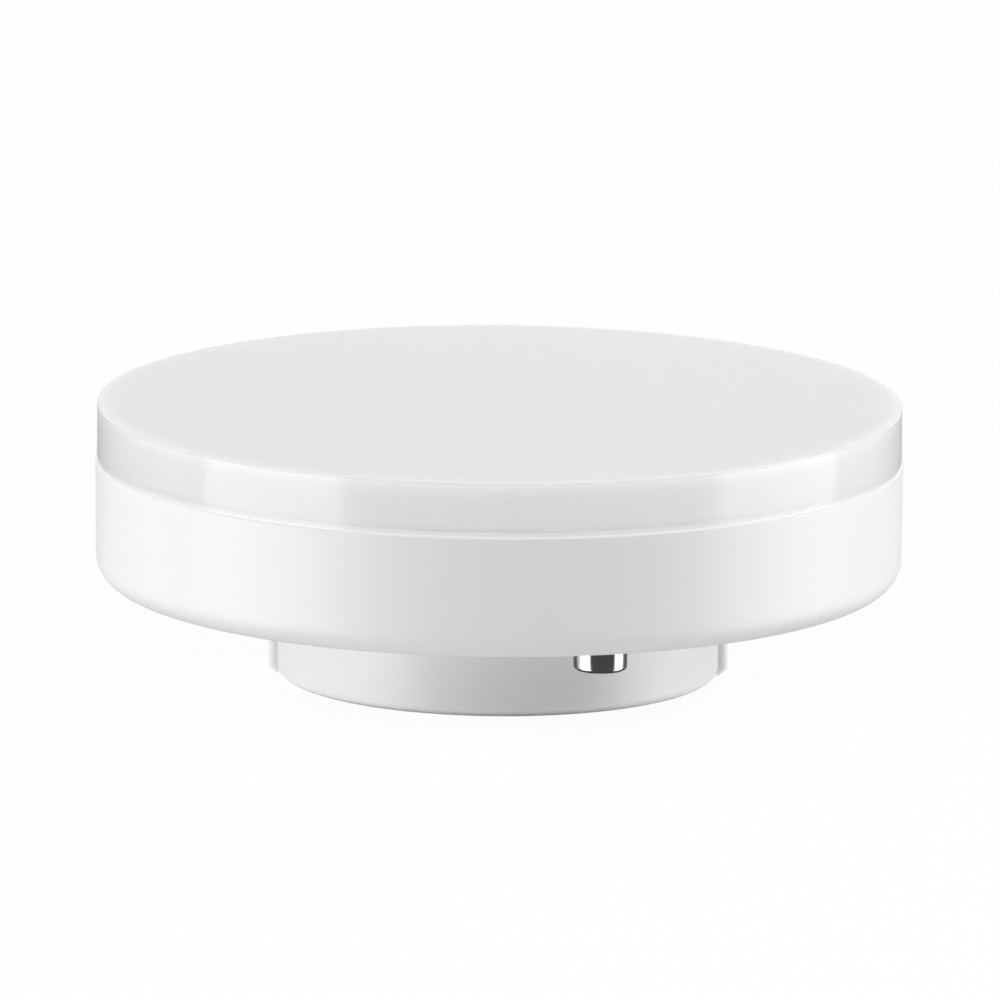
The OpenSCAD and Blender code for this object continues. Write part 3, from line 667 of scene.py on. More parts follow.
class DISCLAMP_OT_diffuser(bpy.types.Operator):
    """Builds the opal diffuser: face, skirt, spigot and snap beads"""

    bl_idname = "disclamp.diffuser"
    bl_label = "Diffuser"

    def execute(self, context):
        s = lamp_settings()
        top, seam = COVER_HIGH.z, SHELL_HIGH.z
        outer = s.drum_radius - s.cover_step
        inner = outer - 1.6 * MM
        spigot_r = s.drum_radius - 1.0 * MM
        bm = turned(
            [
                (0.0, top),
                (outer, top, s.cover_edge, 7),
                (outer, seam),
                (spigot_r, seam),
                (spigot_r, seam - s.spigot),
                (inner, seam - s.spigot),
                (inner, top - s.cover_face, 0.8 * MM, 5),
                (0.0, top - s.cover_face),
            ],
            s.round_steps,
        )
        middle, half, reach = seam - s.spigot / 2, 0.45 * MM, 0.3 * MM
        bead = [
            (spigot_r - 0.1 * MM, middle - half),
            (spigot_r, middle - half),
            (spigot_r + reach, middle),
            (spigot_r + reach, middle + half / 2),
            (spigot_r, middle + half),
            (spigot_r - 0.1 * MM, middle + half),
        ]
        for turn in range(4):
            start = math.radians(45 + 90 * turn - 11)
            join_shape(bm, revolve(section_shape(bead), 20, math.radians(22), start))
        place(new_piece("diffuser_cover", bm, opal_finish(s)), "diffuser", "opal_plastic")
        return {"FINISHED"}


class DISCLAMP_OT_housing(bpy.types.Operator):
    """Builds the white housing: drum, keyed boss, and the ribs, posts, ledges and hooks inside"""

    bl_idname = "disclamp.housing"
    bl_label = "Housing"

    def execute(self, context):
        s = lamp_settings()
        rim, shoulder, floor = SHELL_HIGH.z, s.boss_height, s.boss_height + s.wall
        rebate = s.drum_radius - 0.9 * MM
        inner, pocket = s.drum_radius - s.wall, s.boss_radius - s.wall
        ledge = rim - s.spigot - 0.2 * MM
        groove_low = rim - s.spigot / 2 - 0.55 * MM
        groove_high = rim - s.spigot / 2 + 0.55 * MM
        bm = turned(
            [
                (0.0, 0.0),
                (s.boss_radius, 0.0, s.boss_edge, 7),
                (s.boss_radius, shoulder),
                (s.drum_radius - s.draft, shoulder, s.drum_edge, 12),
                (s.drum_radius - s.draft * 0.7, shoulder + s.drum_edge + 0.3 * MM),
                (s.drum_radius, rim - s.rim_bevel - 0.3 * MM),
                (s.drum_radius, rim, s.rim_bevel, 3),
                (rebate, rim),
                (rebate, groove_high),
                (rebate + 0.3 * MM, groove_high),
                (rebate + 0.3 * MM, groove_low),
                (rebate, groove_low),
                (rebate, ledge),
                (inner, ledge),
                (inner, floor),
                (pocket, floor),
                (pocket, s.wall),
                (0.0, s.wall),
            ],
            s.round_steps,
        )
        self.add_keys(bm, s)
        self.add_inside(bm, s, floor, inner, pocket)
        place(new_piece("housing_shell", bm, housing_finish(s)), "housing", "white_plastic")
        return {"FINISHED"}

    def add_keys(self, bm, s):
        lift, slope = 0.1 * MM, s.key_reach * 0.9
        root, face = s.boss_radius - s.wall / 2, s.boss_radius + s.key_reach
        top = s.boss_height + s.wall / 2
        key = [
            (root, lift + s.boss_edge),
            (s.boss_radius, lift),
            (face, lift + slope),
            (face, top),
            (root, top),
        ]
        for turn in range(2):
            turn_deg = math.degrees(s.key_turn) + 180 * turn
            join_shape(bm, slab(key, s.key_width, turn_deg, s.key_edge, s.boss_radius - 0.01 * MM))

    def add_inside(self, bm, s, floor, inner, pocket):
        dish = DISH_LOW.z
        sunk = s.wall / 2
        for turn in range(2):
            collar = [(0.0, floor - sunk), (3.3 * MM, floor - sunk), (3.3 * MM, floor + 1.0 * MM, 0.15 * MM, 2)]
            collar.append((0.0, floor + 1.0 * MM))
            join_shape(bm, turned(collar, 40, polar(PIN_LOW.y / 2 + PIN_HIGH.y / 2, 90 + 180 * turn)))
        height = dish - floor + sunk
        for turn in range(12):
            rib = block(
                (3.0 * MM + sunk, 1.2 * MM, height),
                (inner - (3.0 * MM - sunk) / 2, 0.0, floor - sunk + height / 2),
                15 + 30 * turn,
            )
            join_shape(bm, rib)
        for turn in range(3):
            post = [
                (0.0, floor - sunk),
                (2.7 * MM, floor - sunk),
                (2.7 * MM, dish, 0.15 * MM, 2),
                (1.1 * MM, dish),
                (1.1 * MM, 11.2 * MM),
                (0.0, 11.2 * MM),
            ]
            join_shape(bm, turned(post, 40, polar(LED_BOARD_HIGH.x - 3.4 * MM, 120 * turn)))
        carrier = BOARD_LOW.z
        for turn in range(4):
            height = carrier - sunk
            support = block(
                (2.0 * MM + sunk, 1.2 * MM, height),
                (pocket - (2.0 * MM - sunk) / 2, 0.0, sunk + height / 2),
                45 + 90 * turn,
            )
            join_shape(bm, support)
        back, nose = pocket - 0.6 * MM, BOARD_HIGH.z + 0.05 * MM
        stem = back - 1.1 * MM
        hook = [
            (stem, sunk),
            (back, sunk),
            (back, nose + 1.1 * MM),
            (stem + 0.3 * MM, nose + 1.1 * MM),
            (stem - 0.6 * MM, nose + 0.37 * MM),
            (stem - 0.6 * MM, nose),
            (stem, nose),
        ]
        for turn in range(2):
            join_shape(bm, slab(hook, 3.4 * MM, 180 * turn))


class DISCLAMP_OT_contact_pins(bpy.types.Operator):
    """Turns the two plated contact pins, each with the hole for its wire"""

    bl_idname = "disclamp.contact_pins"
    bl_label = "Contact pins"

    def execute(self, context):
        s = lamp_settings()
        head, neck, flange, bore = 2.5 * MM, 1.6 * MM, 2.3 * MM, 0.6 * MM
        low, high = PIN_LOW.z, PIN_HIGH.z
        shoulder, seat = low + 2.2 * MM, high - 0.6 * MM
        section = [
            (0.0, low),
            (head, low, 0.4 * MM, 6),
            (head, shoulder, 0.2 * MM, 4),
            (neck, shoulder),
            (neck, seat),
            (flange, seat),
            (flange, high, 0.3 * MM, 4),
            (bore, high),
            (bore, high - 2.6 * MM),
            (0.0, high - 2.6 * MM),
        ]
        finish = plating_finish(s)
        for number, degrees in ((1, -90), (2, 90)):
            bm = turned(section, 96, polar((PIN_LOW.y + PIN_HIGH.y) / 2, degrees))
            piece = new_piece(f"contact_pin_turned_{number}", bm, finish)
            place(piece, f"contact_pin_{number}", "nickel_plate")
        return {"FINISHED"}


TIN = (0.66, 0.67, 0.68)
WIDE = 0.05


class DISCLAMP_OT_heat_spreader(bpy.types.Operator):
    """Finishes the pressed aluminium dish, with the mill's rolling lines"""

    bl_idname = "disclamp.heat_spreader"
    bl_label = "Heat spreader"

    def execute(self, context):
        finish = Finish(
            "Rolled aluminium",
            (0.72, 0.73, 0.74),
            0.36,
            metallic=1.0,
            drift=0.08,
            spread=0.12,
            grain=1600.0,
            stretch=(0.05, 3.0, 3.0),
            bump=0.25,
        )
        dress("heat_spreader", finish.done())
        return {"FINISHED"}


class DISCLAMP_OT_led_board(bpy.types.Operator):
    """Finishes the LED board, its LEDs, its screws and its solder"""

    bl_idname = "disclamp.led_board"
    bl_label = "LED board"

    def execute(self, context):
        top = LED_BOARD_HIGH.z
        self.finish_board(top)
        self.finish_leds(top)
        self.finish_screws(top)
        solder = Finish("Bright solder", TIN, 0.24, metallic=1.0, drift=0.1, spread=0.15, grain=2500.0, bump=0.3)
        dress("led_board_solder", solder.done())
        return {"FINISHED"}

    def finish_board(self, top):
        finish = Finish("White solder mask", (0.87, 0.88, 0.86), 0.38, drift=0.03, grain=5000.0)
        tracks = finish.either(finish.ring(25.0 * MM, 1.9 * MM), finish.ring(10.5 * MM, 1.9 * MM))
        finish.tint(tracks, (0.81, 0.82, 0.79))
        gaps = finish.either(finish.ring(25.0 * MM, 0.12 * MM), finish.ring(10.5 * MM, 0.12 * MM))
        finish.tint(gaps, (0.87, 0.88, 0.86))
        screws = [polar(29.6 * MM, 120 * turn)[:2] for turn in range(3)]
        finish.metal_where(finish.rings_at(screws, 1.9 * MM, 0.5 * MM), (0.7, 0.5, 0.3))
        pads = [(11.8 * MM, side * 1.6 * MM) for side in (-1, 1)]
        finish.metal_where(finish.rings_at(pads, 0.0, 1.4 * MM), TIN)
        core = finish.box((-WIDE, -WIDE, 0.0), (WIDE, WIDE, top - 0.12 * MM))
        finish.metal_where(core, (0.7, 0.71, 0.72), 0.34)
        dress("led_board", finish.done())

    def finish_leds(self, top):
        package = Finish("LED package", (0.9, 0.9, 0.86), 0.45, drift=0.03, grain=6000.0)
        terminals = package.box((-WIDE, -WIDE, top - MM), (WIDE, WIDE, top + 0.16 * MM))
        package.metal_where(terminals, TIN)
        dress("led_packages", package.done())
        phosphor = Finish(
            "LED phosphor", (0.88, 0.68, 0.09), 0.3, drift=0.12, drift_scale=1500.0, grain=12000.0, bump=0.3
        )
        phosphor.shader.inputs["Coat Weight"].default_value = 0.6
        phosphor.shader.inputs["Coat Roughness"].default_value = 0.12
        dress("led_phosphors", phosphor.done())

    def finish_screws(self, top):
        finish = Finish(
            "Zinc plating", (0.6, 0.61, 0.62), 0.27, metallic=1.0, drift=0.06, spread=0.1, grain=1800.0
        )
        screws = [polar(29.6 * MM, 120 * turn)[:2] for turn in range(3)]
        # Painted shade: the zinc is tinted dark inside the recess of each screw head, where shade falls.
        painted_recess_shade = finish.box((-WIDE, -WIDE, top + 0.6 * MM), (WIDE, WIDE, top + 0.8 * MM))
        finish.tint(finish.without(painted_recess_shade, finish.rings_at(screws, 2.1 * MM, 0.6 * MM)), (0.3, 0.3, 0.31))
        dress("board_screws", finish.done())


def can_lead_points(cad_name, side):
    """The two lead holes of a lying capacitor, from its box."""
    low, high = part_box(cad_name)
    x = high.x - 0.3 * MM if side > 0 else low.x + 0.3 * MM
    return [(x, (low.y + high.y) / 2 + step * 1.25 * MM) for step in (-1, 1)]


def lead_points():
    """Every hole of the driver board that takes a lead or a wire."""
    film, varistor, fuse = (middle_of(name) for name in ("film_capacitor", "varistor", "fusible_resistor"))
    bobbin, reach = middle_of("transformer_bobbin"), bobbin_pin_reach()
    points = can_lead_points("input_capacitor", 1) + can_lead_points("output_capacitor", -1)
    points += [(film.x + step * 2.5 * MM, film.y) for step in (-1, 1)]
    points += [(varistor.x + step * 2.5 * MM, varistor.y) for step in (-1, 1)]
    points += [(fuse.x, fuse.y + step * 4.2 * MM) for step in (-1, 1)]
    points += [(bobbin.x + x * reach.x, bobbin.y + y * reach.y) for x in (-1, 1) for y in (-1, 1)]
    return points


def middle_of(cad_name):
    low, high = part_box(cad_name)
    return (low + high) / 2


def bobbin_pin_reach():
    low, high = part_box("transformer_bobbin")
    return Vector(((high.x - low.x) / 2 - 0.8 * MM, (high.y - low.y) / 2 - 0.5 * MM, 0.0))


class DISCLAMP_OT_driver_board(bpy.types.Operator):
    """Finishes the driver board: solder mask over copper, tinned pads and a glass fibre edge"""

    bl_idname = "disclamp.driver_board"
    bl_label = "Driver board"

    def execute(self, context):
        finish = Finish("Green solder mask", (0.025, 0.17, 0.07), 0.24, drift=0.1, spread=0.06, grain=3000.0)
        copper = node(
            finish.tree,
            "ShaderNodeTexVoronoi",
            distance="CHEBYCHEV",
            feature="F1",
            inputs={"Scale": 260.0, "Randomness": 0.85},
        )
        place_on = finish.tree.nodes.new("ShaderNodeTexCoord").outputs["Object"]
        flat = node(finish.tree, "ShaderNodeVectorMath", operation="MULTIPLY", inputs={1: (1.0, 1.0, 0.0)})
        finish.tree.links.new(place_on, flat.inputs[0])
        finish.tree.links.new(flat.outputs[0], copper.inputs["Vector"])
        finish.tint(math_node(finish.tree, "LESS_THAN", copper.outputs["Distance"], 0.36), (0.05, 0.27, 0.1))
        wires = [(0.0, side * 15.4 * MM) for side in (-1, 1)] + [(15.6 * MM, side * 1.6 * MM) for side in (-1, 1)]
        pads = finish.either(finish.rings_at(lead_points(), 0.6 * MM, 0.35 * MM), finish.rings_at(wires, 0.85 * MM, 0.4 * MM))
        finish.metal_where(pads, TIN)
        edge = finish.ring(BOARD_HIGH.x, 0.08 * MM)
        finish.tint(edge, (0.42, 0.4, 0.2))
        dress("driver_board", finish.done())
        return {"FINISHED"}


class DISCLAMP_OT_driver_chips(bpy.types.Operator):
    """Finishes the moulded packages and the flat chips that lie on the driver board"""

    bl_idname = "disclamp.driver_chips"
    bl_label = "Driver chips"

    def execute(self, context):
        for cad_name, trim in (
            ("bridge_rectifier", (0.0, 1.22 * MM)),
            ("driver_chip", (0.0, 1.02 * MM)),
            ("output_diode", (0.0, 0.28 * MM)),
        ):
            low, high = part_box(cad_name)
            finish = Finish("Moulding " + cad_name, (0.022, 0.022, 0.024), 0.55, drift=0.15, grain=9000.0, bump=0.4)
            body = finish.box(
                (low.x - MM, low.y + trim[1], low.z + 0.05 * MM), (high.x + MM, high.y - trim[1], high.z + MM)
            )
            finish.metal_where(finish.outside(body), TIN)
            dress(cad_name, finish.done())
        self.finish_flat_chips("chip_resistors", (0.03, 0.03, 0.032), (0.75, 0.74, 0.7), 2)
        self.finish_flat_chips("chip_capacitors", (0.42, 0.25, 0.11), (0.42, 0.25, 0.11), 1)
        return {"FINISHED"}

    def finish_flat_chips(self, cad_name, top_colour, side_colour, rows):
        low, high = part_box(cad_name)
        finish = Finish("Finish " + cad_name, side_colour, 0.4, drift=0.08, grain=7000.0)
        finish.tint(finish.box((low.x, low.y, high.z - 0.06 * MM), (high.x, high.y, high.z + MM)), top_colour)
        length, cap = 2.0 * MM, 0.35 * MM
        ends = []
        for row in range(rows):
            start = low.y + row * (high.y - low.y - length)
            for end in (start, start + length - cap):
                ends.append(finish.box((low.x - MM, end - 1e-5, 0.0), (high.x + MM, end + cap + 1e-5, high.z + MM)))
        finish.metal_where(finish.either(*ends), TIN)
        dress(cad_name, finish.done())


class DISCLAMP_OT_driver_parts(bpy.types.Operator):
    """Finishes the tall pieces of the driver: resistor, varistor, capacitors and transformer"""

    bl_idname = "disclamp.driver_parts"
    bl_label = "Driver parts"

    def execute(self, context):
        self.finish_resistor()
        self.finish_varistor()
        self.finish_film_capacitor()
        self.finish_can("input_capacitor", (0.025, 0.027, 0.04), (0.34, 0.35, 0.37), 1)
        self.finish_can("output_capacitor", (0.02, 0.035, 0.075), (0.4, 0.43, 0.48), -1)
        self.finish_transformer()
        return {"FINISHED"}

    def finish_resistor(self):
        low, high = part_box("fusible_resistor")
        middle = middle_of("fusible_resistor")
        finish = Finish("Resistor lacquer", (0.2, 0.36, 0.28), 0.3, drift=0.06, grain=3000.0)
        for step, colour in ((-1.9, (0.3, 0.03, 0.02)), (-0.75, (0.02, 0.02, 0.02)), (0.15, (0.02, 0.02, 0.02)), (1.9, (0.6, 0.42, 0.1))):
            y = middle.y + step * MM
            finish.tint(finish.box((low.x, y - 0.25 * MM, low.z), (high.x, y + 0.25 * MM, high.z)), colour)
        body = finish.box((low.x - MM, middle.y - 3.0 * MM, 5.0 * MM), (high.x + MM, middle.y + 3.0 * MM, high.z + MM))
        finish.metal_where(finish.outside(body), TIN)
        dress("fusible_resistor", finish.done())

    def finish_varistor(self):
        low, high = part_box("varistor")
        finish = Finish("Dipped epoxy", (0.05, 0.16, 0.38), 0.22, drift=0.12, drift_scale=400.0, grain=1500.0, bump=0.25)
        body = finish.box((low.x - MM, low.y - MM, BOARD_HIGH.z + 0.55 * MM), (high.x + MM, high.y + MM, high.z + MM))
        finish.metal_where(finish.outside(body), TIN)
        dress("varistor", finish.done())

    def finish_film_capacitor(self):
        low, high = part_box("film_capacitor")
        finish = Finish("Capacitor box", (0.48, 0.26, 0.03), 0.3, drift=0.06, grain=5000.0)
        finish.tint(finish.box((low.x - MM, low.y - MM, low.z), (high.x + MM, high.y + MM, BOARD_HIGH.z + 0.9 * MM)), (0.62, 0.4, 0.12))
        leads = finish.box((low.x - MM, low.y - MM, 0.0), (high.x + MM, high.y + MM, BOARD_HIGH.z))
        finish.metal_where(leads, TIN)
        dress("film_capacitor", finish.done())

    def finish_can(self, cad_name, colour, stripe_colour, side):
        low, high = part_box(cad_name)
        middle, half = middle_of(cad_name), (high.y - low.y) / 2
        far = low.x if side > 0 else high.x
        near = high.x - 1.5 * MM if side > 0 else low.x + 1.5 * MM
        finish = Finish("Sleeve " + cad_name, colour, 0.28, drift=0.08, spread=0.08, grain=2600.0)
        stripe = finish.box((low.x, low.y - MM, high.z - 1.6 * half), (high.x, low.y + 0.35 * half, high.z - 0.5 * half))
        finish.tint(stripe, stripe_colour)
        rim = finish.box((near - 0.7 * MM, low.y - MM, low.z), (near + 0.7 * MM, high.y + MM, high.z + MM))
        finish.tint(rim, (0.015, 0.015, 0.016))
        centre_z = high.z - half
        top = finish.box(
            (far - 0.06 * MM, middle.y - 0.72 * half, centre_z - 0.72 * half),
            (far + 0.06 * MM, middle.y + 0.72 * half, centre_z + 0.72 * half),
        )
        finish.metal_where(top, (0.75, 0.76, 0.77))
        under = finish.box((low.x - MM, low.y - MM, 0.0), (high.x + MM, high.y + MM, BOARD_HIGH.z))
        beyond = near + side * 0.75 * MM
        bent = finish.box(
            (min(beyond, beyond + side * 2.0 * MM), low.y - MM, 0.0),
            (max(beyond, beyond + side * 2.0 * MM), high.y + MM, high.z),
        )
        finish.metal_where(finish.either(under, bent), TIN)
        dress(cad_name, finish.done())

    def finish_transformer(self):
        core = Finish("Ground ferrite", (0.04, 0.04, 0.043), 0.5, drift=0.2, drift_scale=600.0, grain=7000.0, bump=0.3)
        dress("transformer_core", core.done())
        bobbin = Finish("Bobbin moulding", (0.78, 0.75, 0.65), 0.45, drift=0.04, grain=5000.0)
        low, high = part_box("transformer_bobbin")
        bobbin.metal_where(bobbin.box((low.x, low.y, 0.0), (high.x, high.y, BOARD_HIGH.z)), TIN)
        dress("transformer_bobbin", bobbin.done())
        tape = Finish(
            "Yellow tape", (0.75, 0.49, 0.04), 0.26, drift=0.1, drift_scale=300.0, grain=900.0, stretch=(6.0, 0.3, 0.3), bump=0.3
        )
        low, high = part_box("transformer_winding")
        middle = middle_of("transformer_winding")
        overlap = tape.box((low.x, middle.y + 0.4 * MM, high.z - 0.3 * MM), (high.x, high.y, high.z + MM))
        tape.tint(overlap, (0.68, 0.42, 0.03))
        dress("transformer_winding", tape.done())


class DISCLAMP_OT_wires(bpy.types.Operator):
    """Builds the two supply wires and the two LED wires, with their stripped and tinned ends"""

    bl_idname = "disclamp.wires"
    bl_label = "Wires"

    def execute(self, context):
        tinned = Finish("Tinned strands", TIN, 0.3, metallic=1.0, drift=0.15, spread=0.15, grain=5000.0, bump=0.5)
        strands = tinned.done()
        for cad_name, side, colour, slot in (
            ("live_wire", -1, (0.25, 0.08, 0.03), "brown_insulation"),
            ("neutral_wire", 1, (0.04, 0.14, 0.42), "blue_insulation"),
        ):
            self.add_wire(cad_name, slot, colour, strands, lambda u, v: (0.0, side * u, v), self.supply_route(), 1.5 * MM)
        for cad_name, y, colour, slot in (
            ("led_wire_positive", 1.6 * MM, (0.55, 0.03, 0.02), "red_insulation"),
            ("led_wire_negative", -1.6 * MM, (0.015, 0.015, 0.017), "black_insulation"),
        ):
            self.add_wire(cad_name, slot, colour, strands, lambda u, v: (u, y, v), self.led_route(), 1.2 * MM)
        return {"FINISHED"}

    def supply_route(self):
        """Corners of a supply wire, from the pin's hole to below the driver board."""
        low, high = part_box("neutral_wire")
        level = high.z - 0.6 * MM
        out, inner = (PIN_LOW.y + PIN_HIGH.y) / 2, 15.4 * MM
        return [(out, PIN_HIGH.z - 2.5 * MM), (out, level), (inner, level), (inner, low.z)]

    def led_route(self):
        """Corners of an LED wire, from its pad on the LED board to below the driver board."""
        low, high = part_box("led_wire_positive")
        level = high.z - 0.6 * MM
        out, inner = 15.6 * MM, 11.8 * MM
        return [(inner, LED_BOARD_HIGH.z + 0.3 * MM), (inner, level), (out, level), (out, low.z)]

    def add_wire(self, cad_name, slot, colour, strands, at, route, bend):
        finish = Finish("Insulation " + cad_name, colour, 0.36, drift=0.1, grain=2600.0, bump=0.15)
        first, second, third, last = route
        bare_start = first[1] + (1.0 * MM if cad_name.startswith("led") else 2.7 * MM)
        bare_end = BOARD_HIGH.z + 0.4 * MM
        cover = [(first[0], bare_start), second, third, (last[0], bare_end)]
        bm = bent_tube([at(u, v) for u, v in cover], bend, 0.6 * MM)
        piece = new_piece(cad_name + "_insulation", bm, finish.done())
        place(piece, cad_name, slot)
        bm = bent_tube([at(*first), at(first[0], bare_start + 0.3 * MM)], bend, 0.42 * MM, sides=14)
        join_shape(bm, bent_tube([at(last[0], bare_end + 0.3 * MM), at(*last)], bend, 0.42 * MM, sides=14))
        ends = new_piece(cad_name + "_strands", bm, strands)
        place(ends, cad_name, "solder")


def opal_finish(s):
    """Opal plastic: the solid face passes more light than the hollow skirt under it. A painted shade darkens the edge
    of the face, and a painted highlight lightens the lip at the seam.
    """
    finish = Finish(
        "Opal plastic",
        s.cover_colour,
        0.13,
        drift=0.012,
        drift_scale=45.0,
        spread=0.03,
        grain=3500.0,
        bump=0.02,
    )
    low = (-WIDE, -WIDE, SHELL_HIGH.z - 5 * MM)
    # The skirt's lowest band, with the spigot under it, takes no subsurface scattering and a colour of its own, so
    # that the seam shows no dark line.
    foot = finish.box(low, (WIDE, WIDE, SHELL_HIGH.z + 0.5 * MM))
    # Painted highlight: the lowest 0.12 mm above the seam, and the spigot, take a lighter colour, standing in for the
    # bright line of light along the rim.
    lip_highlight = finish.box(low, (WIDE, WIDE, SHELL_HIGH.z + 0.12 * MM))
    outer, reach = s.drum_radius - s.cover_step, 0.3 * MM
    crown = finish.box((-WIDE, -WIDE, COVER_HIGH.z - reach), (WIDE, WIDE, COVER_HIGH.z + reach))
    # Painted shade: the edge of the face, where light makes a bright line, is tinted darker.
    corner = math_node(finish.tree, "MULTIPLY", crown, finish.ring(outer, reach))
    finish.tint(corner, tuple(s.corner_shade_colour))
    finish.tint(foot, tuple(s.foot_colour))
    finish.tint(lip_highlight, tuple(s.lip_highlight_colour))
    finish.tree.links.new(finish.level(1.0, foot, 0.0), finish.shader.inputs["Subsurface Weight"])
    finish.shader.inputs["Subsurface Radius"].default_value = (1.0, 1.0, 1.0)
    finish.shader.inputs["Subsurface Scale"].default_value = 0.0023
    return finish.done()


def housing_finish(s):
    """Smooth white moulding with a faint drift in tone and gloss."""
    finish = Finish(
        "White moulding",
        s.shell_colour,
        0.34,
        drift=0.018,
        drift_scale=55.0,
        spread=0.06,
        grain=6500.0,
        bump=0.05,
    )
    return finish.done()


def plating_finish(s):
    """Bright nickel over a turned surface, with the tool's fine rings, and a painted dark reflection where it turns
    from the eye.
    """
    finish = Finish(
        "Nickel plating",
        s.plating_colour,
        0.14,
        metallic=1.0,
        drift=0.05,
        drift_scale=900.0,
        spread=0.06,
        grain=900.0,
        stretch=(0.2, 0.2, 14.0),
        bump=0.08,
    )
    # Painted reflection: the plating is tinted near black where its surface turns from the eye, standing in for the
    # dark surroundings it mirrors there.
    painted_reflection_facing = node(finish.tree, "ShaderNodeLayerWeight", inputs={"Blend": 0.5}).outputs["Facing"]
    rim = node(finish.tree, "ShaderNodeMapRange", inputs={1: 0.38, 2: 0.55, 3: 0.0, 4: 0.9})
    finish.tree.links.new(painted_reflection_facing, rim.inputs[0])
    finish.tint(rim.outputs[0], (0.02, 0.02, 0.02))
    return finish.done()


class DISCLAMP_OT_stage(bpy.types.Operator):
    """Sets the floor, the softboxes, the grey flag in front, the surrounding light and the camera"""

    bl_idname = "disclamp.stage"
    bl_label = "Stage"

    def execute(self, context):
        s = stage_settings()
        back = Vector((math.sin(s.azimuth), -math.cos(s.azimuth), 0.0))
        right = Vector((math.cos(s.azimuth), math.sin(s.azimuth), 0.0))
        self.add_world(s, back)
        self.add_floor(s)
        self.add_softbox("left_low", s.left_low, back, right, (-92, -45), (-44, 0))
        self.add_softbox("left_high", s.left_high, back, right, (-120, -45), (0, 44))
        self.add_softbox("right_box", s.right_box, back, right, (65, 109), (-44, 44), 0.6)
        self.add_softbox("front_high", s.front_high, back, right, (-50, 50), (30, 60), mirrored=False)
        self.add_softbox("table_bounce", s.table_bounce, back, right, (-30, 30), (-120, -60), mirrored=False)
        fill = self.add_softbox("front_fill", s.front_fill, back, right, (-50, 70), (-25, 45), mirrored=False)
        taken = bpy.data.collections.new("Opal pieces")
        taken.objects.link(bpy.data.objects["diffuser_cover"])
        fill.light_linking.receiver_collection = taken
        self.add_flag(s, -42, 62)
        self.add_camera(s, back, right)
        return {"FINISHED"}

    def add_world(self, s, back):
        world = bpy.data.worlds.new("Studio")
        bpy.context.scene.world = world
        world.use_nodes = True
        tree = world.node_tree
        sky = tree.nodes["Background"]
        path = tree.nodes.new("ShaderNodeLightPath")
        direction = tree.nodes.new("ShaderNodeTexCoord").outputs["Generated"]
        towards = tree.nodes.new("ShaderNodeSeparateXYZ")
        tree.links.new(direction, towards.inputs[0])
        mirrored = self.add_ramp(tree, towards.outputs["Z"], (-0.55, -0.4), (s.mirror_below, 1.0))
        past = node(tree, "ShaderNodeVectorMath", operation="DOT_PRODUCT", inputs={1: -back})
        tree.links.new(direction, past.inputs[0])
        behind = self.add_ramp(tree, past.outputs["Value"], (0.35, 0.9), (0.0, 1.0))
        under = self.add_ramp(tree, towards.outputs["Z"], (-0.13, -0.04), (1.0, 0.0))
        shade = math_node(tree, "MULTIPLY", math_node(tree, "MULTIPLY", behind, under), 1.0 - s.mirror_behind)
        mirrored = math_node(tree, "MULTIPLY", mirrored, math_node(tree, "SUBTRACT", 1.0, shade))
        seen = math_node(tree, "MAXIMUM", path.outputs["Is Camera Ray"], path.outputs["Is Transmission Ray"])
        strength = node(tree, "ShaderNodeMix", data_type="FLOAT", inputs={2: s.ambient})
        tree.links.new(path.outputs["Is Glossy Ray"], strength.inputs[0])
        tree.links.new(mirrored, strength.inputs[3])
        shown = node(tree, "ShaderNodeMix", data_type="FLOAT", inputs={3: 1.0})
        tree.links.new(seen, shown.inputs[0])
        tree.links.new(strength.outputs[0], shown.inputs[2])
        tree.links.new(shown.outputs[0], sky.inputs["Strength"])
        sky.inputs["Color"].default_value = (1.0, 1.0, 1.0, 1.0)

    def add_ramp(self, tree, socket, source, target):
        ramp = node(
            tree,
            "ShaderNodeMapRange",
            inputs={1: source[0], 2: source[1], 3: target[0], 4: target[1]},
        )
        tree.links.new(socket, ramp.inputs[0])
        return ramp.outputs[0]

    def add_floor(self, s):
        bm = bmesh.new()
        bmesh.ops.create_circle(bm, cap_ends=True, segments=96, radius=6.0)
        material = bpy.data.materials.new("Studio floor")
        material.use_nodes = True
        tree = material.node_tree
        tree.nodes.remove(tree.nodes["Principled BSDF"])
        paper = node(tree, "ShaderNodeBsdfDiffuse", inputs={"Color": (0.95, 0.95, 0.95, 1.0)})
        white = node(tree, "ShaderNodeEmission", inputs={"Strength": 1.0})
        clear = node(tree, "ShaderNodeBsdfTransparent")
        reach = tree.nodes.new("ShaderNodeVectorMath")
        reach.operation = "LENGTH"
        tree.links.new(tree.nodes.new("ShaderNodeTexCoord").outputs["Object"], reach.inputs[0])
        touched = math_node(tree, "LESS_THAN", reach.outputs["Value"], s.contact_radius)
        unseen = tree.nodes.new("ShaderNodeMixShader")
        tree.links.new(touched, unseen.inputs[0])
        tree.links.new(clear.outputs[0], unseen.inputs[1])
        tree.links.new(paper.outputs[0], unseen.inputs[2])
        path = tree.nodes.new("ShaderNodeLightPath")
        lit = node(tree, "ShaderNodeMixShader", inputs={0: s.floor_glow})
        tree.links.new(paper.outputs[0], lit.inputs[1])
        tree.links.new(white.outputs[0], lit.inputs[2])
        seen = math_node(tree, "MAXIMUM", path.outputs["Is Camera Ray"], path.outputs["Is Transmission Ray"])
        front = math_node(tree, "SUBTRACT", 1.0, tree.nodes.new("ShaderNodeNewGeometry").outputs["Backfacing"])
        passed = tree.nodes.new("ShaderNodeMixShader")
        tree.links.new(math_node(tree, "MULTIPLY", seen, front), passed.inputs[0])
        tree.links.new(unseen.outputs[0], passed.inputs[1])
        tree.links.new(lit.outputs[0], passed.inputs[2])
        tree.links.new(passed.outputs[0], tree.nodes["Material Output"].inputs["Surface"])
        floor = new_piece("studio_floor", bm, material)

